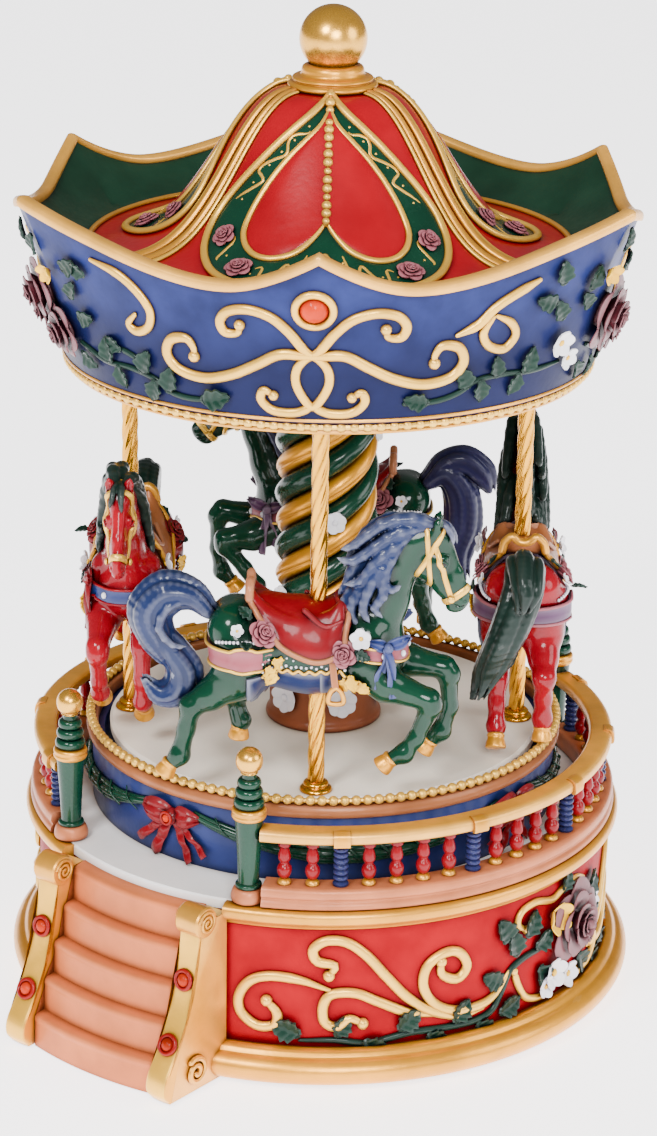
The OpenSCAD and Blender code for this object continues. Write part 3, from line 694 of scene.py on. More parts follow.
def make_stairs():
    """Two flights of curved treads between scrolled stringers with stones."""
    rise, run = (DECK_Z - 3.4) / 5, (STAIR_OUT - 4.5) / 4
    prof = [(WALL_R - 0.2, 50.9)]
    for k in range(5):
        r, z = WALL_R + 4.5 + run * k, 50.2 - rise * k
        low = 50.2 - rise * (k + 1) if k < 4 else 0.7
        inner = r - run + 0.1 if k else WALL_R - 0.2
        prof += [(inner, z + (0.1 if k else 0.4)), (r - 1.3, z), (r - 0.2, z - 0.35), (r + 0.15, z - 1.3),
                 (r - 0.1, z - 2.4), (r + 0.1, low + 2.2), (r + 0.25, low)]
    prof = np.array(prof + [(WALL_R - 0.2, 0.7)])
    prof = fillet(prof, 0.35, 2)
    s = Shape()
    u = np.linspace(-STAIR_W, STAIR_W, 40)
    v = np.sqrt(prof[None, :, 0] ** 2 - u[:, None] ** 2)
    pts = np.stack(np.broadcast_arrays(u[:, None], v, prof[None, :, 1]), -1)
    for q in (0, 180):
        s.grid(pts @ facing(q).T, "step", close_v=True, caps=(True, True))
    s.build("stair_treads", "base", "stair_steps", "peach_resin", sharp=30)

    front = WALL_R + STAIR_OUT
    face = spline([(WALL_R + 8.4, 47.6), (front - 12.2, 44.5), (front - 11.4, 39),
                   (front - 9.4, 30), (front - 6.0, 21.5), (front - 2.0, 14.2),
                   (front + 1.6, 8.6), (front + 2.1, 4.2), (front - 0.4, 0.9)], 60)
    back = [(WALL_R - 3.0, 0.8), (WALL_R - 3.0, 50.4), (WALL_R + 5.0, 50.4)]
    outline = np.vstack([face, back])
    across = [(-3.6, 0.7), (-3.5, 0.32), (-3.2, 0.08), (-2.7, 0.0), (-1.4, -0.12), (0, -0.16),
              (1.4, -0.12), (2.7, 0.0), (3.2, 0.08), (3.5, 0.32), (3.6, 0.7)]
    normal = unit(np.gradient(outline, axis=0) @ np.array([[0, -1], [1, 0]]))
    s = Shape()
    for q in (0, 180):
        axes = facing(q)
        for side in (-1, 1):
            c = side * 26.2
            rows = []
            for w, dip in across:
                r = outline.copy()
                r[:60] += normal[:60] * dip * (1 if normal[30][0] < 0 else -1)
                row = np.stack([np.full(len(r), c + w), r[:, 0], r[:, 1]], -1)
                rows.append(row)
            kinds = ["gold"] * 2 + ["pale_gold"] * (len(across) - 5) + ["gold"] * 2
            body = np.array(rows) @ axes.T
            s.grid(body, np.array(kinds)[:, None], close_v=True, caps=(True, True))
            turn = np.linspace(0, 2 * np.pi, 40, endpoint=False)
            mid = np.array([WALL_R + 5.9, 50.4])
            roll = [(-4.1, 2.0), (-4.1, 3.2), (-3.9, 4.1), (-3.4, 4.45), (3.4, 4.45), (3.9, 4.1),
                    (4.1, 3.2), (4.1, 2.0)]
            rows = [np.stack([np.full(40, c + w), mid[0] + r * np.cos(turn),
                              mid[1] + r * np.sin(turn)], -1) for w, r in roll]
            s.grid(np.array(rows) @ axes.T, "gold", close_v=True, caps=(True, True))
            for w in (-4.1, 4.1):
                a = np.linspace(0.4, 4.6 * np.pi, 50)
                r = 3.5 * (1 - a / 17)
                coil = np.stack([np.full(50, c + w), mid[0] + r * np.cos(a),
                                 mid[1] + r * np.sin(a)], -1)
                s.tube(coil @ axes.T, 0.5, "gold", sides=8)
        for side in (-1, 1):
            a = np.linspace(0, 3.4 * np.pi, 44)
            r = 4.2 * (1 - a / 13)
            coil = np.stack([np.full(44, side * 30.2), WALL_R + 10.5 + r * np.cos(a + 1.0),
                             7.2 + r * np.sin(a + 1.0)], -1)
            s.tube(coil @ axes.T, 0.9, "gold", sides=8)
    s.build("stair_sides", "base", "stair_stringers", "gold_paint", sharp=34)

    s, jewel = Shape(), make_jewel(2.15, "jewel_orange", "jewel_rim", 1.2)
    for q in (0, 180):
        axes = facing(q)
        for side in (-1, 1):
            for k in (19, 34):
                p, d = face[k], unit(face[k + 1] - face[k - 1])
                out = np.array([-d[1], d[0]]) * (1 if -d[1] > 0 else -1)
                local = np.array([[1, 0, 0], [0, -d[0], -d[1]], [0, out[0], out[1]]]).T
                place = np.array([side * 26.2, p[0] + out[0] * 0.1, p[1] + out[1] * 0.1])
                s.place(jewel, (axes @ local, axes @ place))
    s.build("stair_cabochons", "base", "stair_jewels", "jewel")


def make_railing():
    """The curb, hand rail, turned balusters and newel posts."""
    s = Shape()
    spans = [(STAIR_AZ + a + NEWEL_A + 3.1, STAIR_AZ + a + 180 - NEWEL_A - 3.1) for a in (0, 180)]
    curb = [(RAIL_R - 4, DECK_Z), (RAIL_R - 4, DECK_Z + 5.2), (RAIL_R - 3.3, DECK_Z + 6),
            (WALL_R + 1.4, DECK_Z + 6), (WALL_R + 2.2, DECK_Z + 5.2), (WALL_R + 2.4, DECK_Z + 3.4),
            (WALL_R + 1.6, DECK_Z + 2.6), (WALL_R + 2.6, DECK_Z + 1.4), (WALL_R + 2.6, DECK_Z)]
    for a0, a1 in spans:
        s.lathe(fillet(curb, 0.7, 3, True), "peach", n=150, a0=a0, a1=a1, closed=True)
    s.build("rail_plinth", "base", "rail_curb", "peach_resin")

    s = Shape()
    z0, z1 = RAIL_Z
    rail = [(RAIL_R - 3.4, z0 + 0.8), (RAIL_R - 3.4, z1 - 0.9), (RAIL_R - 2.6, z1 - 0.1),
            (RAIL_R + 1.6, z1), (RAIL_R + 2.6, z1 - 0.3), (RAIL_R + 3.4, z1 - 1.2),
            (RAIL_R + 3.4, z0 + 1.0), (RAIL_R + 2.7, z0 + 0.3), (RAIL_R + 1.5, z0),
            (RAIL_R - 2.4, z0)]
    rail = fillet(rail, 0.5, 2, True)
    kinds = np.array(["rim_gold" if p[0] > RAIL_R + 2.3 else "rail_gold" for p in rail])
    for a0, a1 in [(STAIR_AZ + a + NEWEL_A + 2.6, STAIR_AZ + a + 180 - NEWEL_A - 2.6)
                   for a in (0, 180)]:
        az = np.linspace(a0, a1, 170)
        pts = polar(az[:, None], rail[None, :, 0], rail[None, :, 1])
        s.grid(pts, kinds[None], close_v=True, caps=(True, True))
    step = (180 - 2 * NEWEL_A - 14) / 22
    places = [(k, STAIR_AZ + a + NEWEL_A + 7 + step * k) for a in (0, 180) for k in range(23)]
    for k, az in places:
        if k % 5 == 2:
            clip = [(RAIL_R + 3.0, z0 - 0.2), (RAIL_R + 4.1, z0), (RAIL_R + 4.3, z0 + 1.6),
                    (RAIL_R + 3.9, z1 - 0.4), (RAIL_R + 2.4, z1 + 0.45), (RAIL_R + 0.8, z1 + 0.3)]
            lower = [(RAIL_R + 2.6, z0 + 0.6), (RAIL_R + 1.0, z1 - 0.5)]
            s.lathe(fillet(clip + lower[::-1], 0.5, 2, True), "gold", n=8, a0=az - 1.5,
                    a1=az + 1.5, closed=True)
    s.build("hand_rail", "base", "handrail", "peach_resin")

    h = z0 - DECK_Z - 6
    post = spline([(1.0, 1.6), (1.7, 2.6), (2.05, 3.9), (1.9, 5.0), (1.3, 6.0), (1.25, 6.5),
                   (1.75, 7.5), (1.6, 9.0), (1.15, h - 1.9), (1.0, h - 1.5)], 40)
    plain = Shape()
    plain.lathe([(0.02, 0), (1.95, 0), (2.0, 0.5), (1.6, 1.2), (1.0, 1.6)], "gold", n=18)
    plain.lathe(post, "red", n=18)
    plain.lathe([(1.0, h - 1.6), (1.75, h - 1.2), (1.85, h - 0.5), (1.6, h + 0.3), (0.02, h + 0.3)],
                "red", n=18)
    beaded = Shape()
    beaded.lathe([(0.02, 0), (2.2, 0), (2.25, 0.6), (1.7, 1.2), (1.3, 1.5)], "bead_blue", n=18)
    z = np.linspace(1.4, h - 0.9, 60)
    bulge = 1.25 + 0.85 * np.abs(np.sin((z - 1.4) / (h - 2.3) * np.pi * 6)) ** 0.6
    beaded.lathe(np.stack([bulge, z], -1), "bead_blue", n=22)
    beaded.lathe([(1.3, h - 1.2), (2.1, h - 0.8), (2.1, h + 0.3), (0.02, h + 0.3)], "bead_blue", n=18)
    reds, blues = Shape(), Shape()
    for k, az in places:
        target, proto = (blues, beaded) if k % 5 == 2 else (reds, plain)
        target.place(proto, frame_at(az, RAIL_R, DECK_Z + 6))
    reds.build("spindles_red", "base", "balusters_red", "red_resin")
    blues.build("spindles_blue", "base", "balusters_blue", "blue_resin")

    foot, post, ball = Shape(), Shape(), Shape()
    foot.lathe(fillet([(0.02, 0), (4.7, 0), (5.0, 1.2), (4.7, 2.8), (4.0, 4.1), (0.02, 4.1)], 0.8, 3),
               "peach", n=40)
    shaft = spline([(2.9, 4), (3.0, 8), (3.3, 15), (3.8, 22), (4.0, 24.6)], 24)
    post.lathe(shaft, "green", n=40)
    post.lathe(fillet([(3.0, 3.9), (3.7, 4.2), (3.7, 5.2), (2.9, 5.6)], 0.4, 3), "green", n=40)
    for z, r in ((29.2, 4.15), (32.2, 3.75), (35.0, 3.2)):
        a = np.linspace(-np.pi / 2, np.pi / 2, 13)
        ring = np.stack([r - 1.0 + 1.15 * np.cos(a), z + 1.45 * np.sin(a)], -1)
        post.lathe(np.vstack([[(0.5, z - 1.45)], ring, [(0.5, z + 1.45)]]), "green", n=40)
    post.lathe([(2.2, 36.0), (2.0, 37.4), (2.4, 38.2), (1.0, 38.6)], "green", n=40)
    collar = [(3.6, 24.4), (4.5, 24.6), (4.9, 25.5), (4.6, 26.2), (4.9, 26.9), (4.5, 27.7),
              (3.4, 27.9)]
    ball.lathe(fillet(collar, 0.3, 3), "gold", n=40)
    onion = spline([(0.9, 37.6), (2.4, 37.9), (2.3, 38.5), (3.3, 39.4), (3.75, 41.2), (3.4, 43.1),
                    (2.3, 44.5), (0.9, 45.2), (0.02, 45.35)], 44)
    ball.lathe(onion, "deep_gold", n=40)
    for name, proto, node, slot_name in (("newel_plinths", foot, "newel_feet", "peach_resin"),
                                         ("newel_shafts", post, "newel_posts", "green_resin"),
                                         ("newel_knobs", ball, "newel_balls", "gold_paint")):
        s = Shape()
        for a in (0, 180):
            for side in (-1, 1):
                s.place(proto, frame_at(STAIR_AZ + a + side * NEWEL_A, RAIL_R, DECK_Z))
        s.build(name, "base", node, slot_name)


def string_of_beads(shape, r, z, bead, count, mat, body_r=0.5):
    """A ring of beads with a thin cord through them."""
    ball = Shape()
    ball.ball((0, 0, 0), bead, mat, n=12, scale=(1.06, 1, 1))
    for k in range(count):
        shape.place(ball, frame_at(360 * k / count, r, z))
    a = np.arange(0, 360, 3)
    shape.tube(polar(a, r, z), bead * body_r, mat, sides=8, closed=True, up=(0, 0, 1))


def make_drum():
    """The blue drum with its beaded rim, garlands and bows."""
    s = Shape()
    r = DRUM_R
    s.lathe(fillet([(r - 3.7, DECK_Z), (r, DECK_Z), (r, DRUM_RIM_Z[0]), (r - 3.7, DRUM_RIM_Z[0])],
                   0.3, 2, True), "drum_blue", n=256, closed=True)
    s.build("drum_skirt", "base", "drum_wall", "blue_resin")
    s = Shape()
    z0, z1 = DRUM_RIM_Z
    rim = [(DISC_R + 3.5, z0), (r + 0.3, z0), (DRUM_RIM_R - 0.5, z0 + 0.5), (DRUM_RIM_R, z0 + 1.9),
           (DRUM_RIM_R - 0.4, z0 + 3.2), (DRUM_RIM_R - 1.3, z1), (DISC_R + 4.2, z1),
           (DISC_R + 3.5, z1 - 0.6)]
    s.lathe(fillet(rim, 0.6, 3, True), "tan", n=256, closed=True)
    s.build("drum_edge", "base", "drum_rim", "peach_resin")
    s = Shape()
    string_of_beads(s, DRUM_RIM_R - 1.3, z1 + 1.2, 1.42, 136, "pale_gold")
    s.build("drum_pearls", "base", "drum_beads", "gold_paint")

    s = Shape()
    for q in range(4):
        mid = STAIR_AZ + 45 + 90 * q
        t = np.linspace(-1, 1, 60)
        for j, (drop, wide, push) in enumerate(((1.9, 1.25, 0.5), (0.2, 1.5, 1.0), (-1.7, 1.25, 0.5))):
            sway = 0.5 * np.sin(t * 9 + j * 2.1)
            sag = (62.2 + 6.5 * t**2) - drop * (1 - 0.75 * t**2) + sway * 0.4
            fat = wide * (1.05 - 0.55 * np.abs(t) ** 1.5) * (1 + 0.1 * np.sin(t * 24 + j))
            s.tube(polar(mid + t * 38.5, DRUM_R + push, sag), fat, "green", sides=12, flat=0.85,
                   up=polar(mid + t * 38.5, 1, 0))
        for j in range(9):
            a = -0.8 + 0.2 * j
            path = spline([polar(mid + a * 38.5 - 2.2, DRUM_R + 0.7, 65.6 + 6.5 * a * a - 0.4),
                           polar(mid + a * 38.5, DRUM_R + 2.2, 62.6 + 6.5 * a * a),
                           polar(mid + a * 38.5 + 2.0, DRUM_R + 0.7, 59.7 + 6.5 * a * a)], 14)
            s.tube(path, 0.5 * (1.2 - np.abs(a)), "green", sides=8)
    s.build("drum_garlands", "base", "drum_swags", "green_resin", sharp=60)

    s, gems = Shape(), Shape()
    for q in range(4):
        axes, origin = frame_at(STAIR_AZ + 90 * q, DRUM_R, 66)
        u = np.linspace(0, 1, 22)[:, None]
        v = np.linspace(-1, 1, 11)[None]
        for side in (-1, 1):
            half = 0.7 + 3.0 * np.sin(np.pi * np.clip(u * 0.95 + 0.03, 0, 1) ** 0.75) ** 0.8
            x = side * (0.6 + 9.2 * u)
            z = 1.0 + half * v * 0.92 + 1.3 * u - 0.5 * u * u
            y = 0.7 + 2.4 * np.sin(np.pi * u) ** 0.7 * (1 - 0.5 * v**2) + 0.3 * np.cos(v * 9)
            s.shell(np.stack(np.broadcast_arrays(x, y, z), -1) @ axes.T + origin, 0.8, "bow_red")
            for lean, length, start in ((0.42, 12.5, 1.2), (0.95, 10.5, 2.2)):
                w = 1.5 - 0.15 * u
                xx = side * (start * 0.6 + length * lean * u + v * w)
                zz = -0.6 - length * (1 - 0.25 * lean) * u - 0.9 * (1 - np.abs(v)) * u**6 + 0.5 * np.abs(v)
                yy = 0.55 + 0.9 * np.sin(u * 7 + side) ** 2 * (1 - 0.4 * v**2) + 0.25 * (1 - v**2)
                s.shell(np.stack(np.broadcast_arrays(xx, yy, zz), -1) @ axes.T + origin, 0.6,
                        "bow_red")
        s.ball(axes @ (0, 1.0, 0.6) + origin, 2.5, "bow_red", n=16, scale=(1, 1.0, 1), axes=axes)
        gem = np.stack([axes[:, 0], axes[:, 2], axes[:, 1]], -1)
        gems.place(make_jewel(1.45, "jewel_orange", "jewel_rim", 1.2),
                   (gem, axes @ (0, 3.1, 0.7) + origin))
    s.build("drum_ribbons", "base", "drum_bows", "red_resin", sharp=50)
    gems.build("ribbon_gems", "base", "bow_jewels", "jewel")


def mirrored(points, middle):
    """The points on the other side of an upright line."""
    return [(2 * middle - x, y) for x, y in points]


# one half of the base's ornament, as compass angle and height, between a stair and the next
WALL_SCROLLS = {
    "stem": [(1.8, 32.5), (2.9, 35.6), (-0.4, 36.9), (-1.2, 40.4), (1.2, 43.1), (5, 42.6),
             (8.8, 38.4), (12.8, 31.3), (16.9, 24.4), (21.6, 19.3), (27.8, 15.7), (33, 16.4)],
    "left": [(-9.9, 24.1), (-7.9, 20.4), (-8.4, 16.8), (-11.8, 16.2), (-14.9, 19.9),
             (-15.2, 24.8), (-13, 29.7), (-9.1, 31.7), (-3.6, 31), (1.9, 28.1)],
    "low": [(8.3, 17.6), (5.8, 19.2), (3.4, 16.8), (1.1, 18.4), (0.8, 23.2), (2.4, 26.8),
            (6.8, 27), (11.2, 24), (16.9, 19.9), (22.9, 17.6)],
    "curl": [(23.5, 33.9), (23.8, 29.9), (27, 27.6), (29.1, 30.9), (27.4, 35.5), (24.3, 36.4),
             (20.8, 33.3), (20, 27.3), (22.2, 21.4), (26.5, 17.9), (31.7, 17.4), (35.7, 19.4),
             (39.2, 25.1)],
    "rose_low": [(40.5, 24.5), (42, 19), (44.2, 14.5), (48.5, 12.4), (53, 13.2)],
    "rose_top": [(43.5, 36), (41.2, 38.6), (42.2, 42.3), (46, 43.4), (51.2, 41.6), (55, 43),
                 (60, 43.6), (64, 41.5)],
    "right_low": [(61, 13.4), (66, 12.9), (70, 15.5), (70.5, 19.5), (67.5, 20.4), (67, 17.6)],
    "right": [(66, 24), (70, 22), (74, 24.5), (77, 30), (80.5, 36), (85, 40.4), (90, 40.5),
              (93, 36.8), (91.5, 33.4), (88.7, 34.6), (89.6, 36.6)],
    "right_b": [(68, 18.5), (74, 16.4), (79, 19), (82, 24), (86, 27.5), (91, 26.4), (93, 22.2),
                (90.6, 18.8), (87.8, 20.4), (88.6, 22.6)],
}
WALL_VINE = [(-3.5, 12.4), (3.1, 12.6), (9.2, 11.2), (13.7, 12.4), (18.2, 13.4), (25.4, 13),
             (31.1, 13), (35.2, 14.6), (37.6, 19.8), (39.6, 25.1), (43.5, 27.5), (48, 28)]
WALL_LEAVES = [(-3.6, 14.6, 160, 7.5), (3.4, 14.2, 60, 6), (8.6, 12.2, -30, 7), (15.3, 15.2, 40, 7),
               (21, 11.9, -25, 6), (26.6, 14.6, 50, 6.5), (31.5, 11.8, -30, 6.5), (37, 13.2, 20, 7),
               (37.2, 22.5, 150, 6.5), (40.8, 29.6, 100, 7), (39.2, 35, 120, 7), (43.6, 34, 60, 7),
               (46.2, 29.4, 20, 7), (47.5, 22.6, -60, 7), (54.6, 42.2, 60, 6), (64.6, 35.5, 30, 8),
               (65.5, 27.5, -10, 8), (61.5, 18.4, -50, 7.5), (69, 12.6, -20, 6)]


def make_wall_ornaments():
    """Scrolls, vines and roses on the base wall, twice round."""
    scrolls, vines, roses = Shape(), Shape(), Shape()
    leaf = make_leaf(6.0, 4.4, "leaf_green", teeth=4)
    big = make_rose(11.6, 7.6, "mauve", 3)
    small = make_rose(5.4, 4.4, "mauve", 4)
    for turn in (0, 180):
        def surface(az, z, off=0.0, turn=turn):
            return on_wall(np.asarray(az) + turn, z, off)
        for name, pts in WALL_SCROLLS.items():
            size = 1.15 if name.startswith("rose") else 1.5
            scroll(scrolls, surface, pts, size, "pale_gold", n=70, ends=(0.65, 0.4),
                   balls=(size * 1.15, 0))
        scroll(vines, surface, WALL_VINE, 1.05, "vine_green", n=90, ends=(0.5, 0.8))
        scroll(vines, surface, [(58, 24), (66, 21), (73, 12.8), (80, 12.4), (88, 13.2)], 0.8,
               "vine_green", n=60)
        for az, z, spin, length in WALL_LEAVES:
            vines.place(leaf, seat(surface, az, z, spin, 0.2, length / 5.2))
        for az, spin in ((75, 40), (80, -40), (86, 30)):
            vines.place(leaf, seat(surface, az, 13, spin, 0.2, 0.95))
        roses.place(big, seat(surface, 58.3, 31.5, 20, 0.2))
        roses.place(small, seat(surface, 63.4, 24.2, 70, 0.2, 0.95))
        roses.place(make_blossom(5.2, "yellow", "tan", cup=0.7), seat(surface, 51.2, 36.8, 10, 0.6))
        for az, z, size in ((51.6, 18.6, 3.7), (49.2, 15.6, 2.7), (56.8, 15.4, 3.1), (67.4, 31.6, 2.6)):
            roses.place(make_blossom(size * 1.35, "white", "yellow"), seat(surface, az, z, az * 7, 0.7))
    scrolls.build("wall_scrolls", "base", "base_scrolls", "gold_paint", sharp=60)
    vines.build("wall_vines", "base", "base_vines", "green_resin", sharp=60)
    roses.build("wall_roses", "base", "base_roses", "mauve_resin", sharp=60)


make_base()
make_stairs()
make_railing()
make_drum()
make_wall_ornaments()

# ---- turntable, poles and column ----


def make_turntable():
    """The disc, the twisted poles with their rings, and the column's base."""
    s = Shape()
    disc = [(3, 61.5), (3, 57), (10, 57), (10, 72.7), (DISC_R - 0.4, 72.7), (DISC_R, 73.2),
            (DISC_R, DISC_Z - 0.9), (DISC_R - 0.8, DISC_Z), (0.5, DISC_Z), (0.5, 61.5)]
    s.lathe(disc, "cream", n=220, closed=True)
    s.build("turntable_disc", "carousel", "turntable", "cream_resin", sharp=30)

    flange, flanges, poles = Shape(), Shape(), Shape()
    flange.lathe(spline([(POLE_R - 0.3, 0), (4.4, 0.02), (4.5, 0.8), (3.9, 1.3), (3.4, 1.6),
                         (3.6, 2.2), (3.1, 2.8), (POLE_R - 0.3, 3.1)], 30), "pole_gold", n=36)
    z = np.linspace(DISC_Z, CEILING_Z + 0.1, 420)
    a = np.linspace(0, 2 * np.pi, 48, endpoint=False)
    twist = a[None] - 2 * np.pi * (z[:, None] - DISC_Z) / 34
    r = POLE_R * (0.8 + 0.24 * np.abs(np.cos(2.5 * twist)) ** 0.75)
    bar = np.stack(np.broadcast_arrays(r * np.cos(a), r * np.sin(a), z[:, None]), -1)
    for q in range(4):
        _, origin = frame_at(CAROUSEL_AZ + 90 * q, POLE_C)
        flanges.place(flange, (np.eye(3), origin + (0, 0, DISC_Z)))
        poles.grid(bar + origin, "pole_gold", close_v=True)
        poles.lathe([(POLE_R - 0.2, CEILING_Z - 1.6), (3.6, CEILING_Z - 1.2), (3.9, CEILING_Z + 0.05)],
                    "pole_gold", n=32, centre=origin)
    flanges.build("pole_rings", "carousel", "pole_flanges", "brass")
    poles.build("twisted_poles", "carousel", "poles", "brass", sharp=60)

    s = Shape()
    z0, z1 = DISC_Z, edges("column_base")[1][2]
    base = [(0.5, z0), (17, z0), (17, z0 + 1.6), (16.2, z0 + 2.6), (15.9, z0 + 4), (16.0, z1 - 4),
            (16.5, z1 - 2.4), (16.9, z1 - 1.2), (16.4, z1), (0.5, z1)]
    s.lathe(fillet(base, 0.7, 3), "terracotta", n=96)
    petal = make_blossom(4.6, "white", "white", cup=0.2, petals=7)
    for k in range(6):
        p = CAROUSEL_AZ + 20 + 60 * k
        s.place(petal, seat(lambda a, h, o=0.0: polar(a, 16.0 + o, h), p, z0 + 9.5, 30 * k, 0.1))
    s.build("column_plinth", "carousel", "column_base", "peach_resin", sharp=50)


def make_column():
    """Three green and three grooved gold bands winding up the column."""
    z0, z1 = edges("column_base")[1][2], CEILING_Z
    pitch = 49.0
    green, gold = Shape(), Shape()
    z = np.linspace(z0, z1 + 0.1, 260)[:, None]
    for k in range(3):
        lead = 360 / pitch * (z - z0) + 120 * k
        u = np.linspace(0, 1, 20)[None]
        bulge = np.sin(np.pi * u) ** 0.55
        green.grid(polar(lead + 63 * u, COLUMN_R - 3.0 + 3.5 * bulge, z), "green")
        u = np.linspace(0, 1, 26)[None]
        bulge = np.sin(np.pi * u) ** 0.55 - 0.16 * np.exp(-(((u - 0.66) / 0.05) ** 2))
        gold.grid(polar(lead + 62 + 59 * u, COLUMN_R - 3.2 + 3.3 * bulge, z), "gold")
    for r, h in ((COLUMN_R - 0.5, z0 + 0.6), (COLUMN_R - 0.5, z1 - 1.0)):
        a = np.arange(0, 360, 4)
        gold.tube(polar(a, r, h), 1.3, "gold", sides=10, closed=True, up=(0, 0, 1))
    blossom = make_blossom(3.4, "white", "white", cup=0.1, petals=6)
    for k in range(7):
        h = z0 + 8 + 12.4 * k
        az = 360 / pitch * (h - z0) + 120 * (k % 3) + 37

        def surface(a, b, off=0.0):
            return polar(a, COLUMN_R + 0.5 + off, b)
        green.place(blossom, seat(surface, az, h, 20 * k, 0.0))
    green.build("column_spiral", "carousel", "column_green", "green_resin", sharp=60)
    gold.build("column_bands", "carousel", "column_gold", "gold_paint", sharp=60)


# ---- canopy ----


def make_canopy():
    """The ceiling, the flared fascia, its rim and the beads of the brim."""
    s = Shape()
    s.lathe([(72.2, CEILING_Z + 2.4), (72.2, CEILING_Z), (60, CEILING_Z + 0.5), (20, CEILING_Z + 0.9),
             (0.5, CEILING_Z + 1.0), (0.5, CEILING_Z + 2.4)], "inner_green", n=180, closed=True)
    s.build("ceiling_board", "carousel", "canopy_ceiling", "green_resin")

    s = Shape()
    az = np.linspace(0, 360, 721)[:-1] + CAROUSEL_AZ
    r, z = rim_r(az), rim_z(az)
    rows = [polar(az, fascia_r(az, v) - 0.8 * math.sin(math.pi * v), BRIM_Z + (z - BRIM_Z) * v)
            for v in np.linspace(0, 1, 15)]
    inner_r, inner_z = r - 15, 219.8
    rows.append(polar(az, r - 2.4, z - 0.2))
    for v in np.linspace(0.12, 1, 8):
        bow = 1.2 * np.sin(np.pi * v)
        rows.append(polar(az, (r - 2.4) * (1 - v) + inner_r * v + bow, (z - 0.2) * (1 - v) + inner_z * v))
    lining = [(69.15, 219.2), (69.15, 217), (72.45, 212), (72.45, BRIM_Z + 0.2)]
    rows += [polar(az, lining_r, lining_z) for lining_r, lining_z in lining]
    pts = np.stack(rows, 1)
    kinds = np.array(["fascia_blue"] * 15 + ["inner_green"] * (pts.shape[1] - 15))
    kinds[-1] = "fascia_blue"
    s.grid(pts, kinds[None], close_u=True, close_v=True)
    s.build("crown_fascia", "carousel", "canopy_fascia", "blue_resin", sharp=40)

    s = Shape()
    sec = [(1.0, -1.0), (1.35, 0.1), (1.25, 1.3), (0.5, 2.05), (-0.7, 2.25), (-2.1, 2.0),
           (-2.8, 1.2), (-2.75, 0.0), (-2.3, -0.6), (-0.6, -0.5)]
    sec = fillet(sec, 0.35, 2, True)
    pts = np.stack([polar(az, r + a, z + b) for a, b in sec], 1)
    s.grid(pts, "rim_gold", close_u=True, close_v=True)
    s.build("crown_rim", "carousel", "rim_trim", "gold_paint", sharp=60)

    s = Shape()
    string_of_beads(s, BRIM_R - 0.9, BRIM_Z - 1.1, 1.42, 132, "pale_gold", 0.62)
    a = np.arange(0, 360, 2)
    s.tube(polar(a, BRIM_R + 0.2, BRIM_Z + 0.9), 0.55, "gold", sides=8, closed=True, up=(0, 0, 1))
    s.tube(polar(a, BRIM_R - 1.6, BRIM_Z - 2.6), 0.8, "gold", sides=8, closed=True, up=(0, 0, 1))
    s.build("brim_pearls", "carousel", "brim_beads", "gold_paint")


# the middle line of a fascia panel's ornament, in degrees from the jewelled point
PANEL = -1.2
# lines on the fascia: degrees from the jewelled point, millimetres above the brim
FASCIA_SCROLLS = {
    "horn": ([(-1.3, 20.4), (0.4, 22.2), (3.1, 27.3), (6.2, 31.2), (10.2, 32.8), (14, 31.6), (15.8, 28.4),
              (15, 25.4), (12.6, 25.6), (12, 27.9)], 1.4),
    "arm": ([(-2.6, 20), (1.0, 20.4), (5, 20.2), (9.3, 16.8), (14.4, 13.1), (20.4, 10.9), (26, 12.2),
             (28.4, 16.2), (27, 20.6), (23.6, 21.8), (22.2, 19.4), (22.2, 16.8)], 1.5),
    "foot": ([(-1.2, 5.3), (2.2, 3.3), (6.6, 3.6), (8.9, 6.6), (8.2, 9.3), (6.4, 8.0)], 1.3),
}
SWIRLS = [([(-45.2, 39.4), (-39.5, 37.2), (-35.6, 33.2), (-33.3, 28), (-34.3, 23.1), (-37.3, 20.9),
            (-39.2, 22.7), (-37.2, 25.8)], 1.3),
          ([(26.2, 24.3), (30.3, 26.8), (33.4, 31.2), (37.3, 34.4), (42, 37.4)], 1.4),
          ([(34.1, 28.6), (37.8, 25.8), (39.4, 21.8), (37.2, 18.4), (33.5, 20.1), (31.8, 24.1),
            (33.4, 28.4)], 1.3)]
FASCIA_VINES = [[(-56, 12), (-48.4, 9.1), (-40.9, 9.2), (-35.1, 7.8), (-30.5, 4.6), (-24.7, 4.2),
                 (-20.0, 6.4)],
                [(17.0, 5.4), (23.5, 5.5), (28.3, 7.2), (31.9, 10.0), (37.8, 10.7), (45.8, 9.9),
                 (54, 10.4)],
                [(-36.8, 8.8), (-39.2, 12.6), (-43.4, 14.4)]]
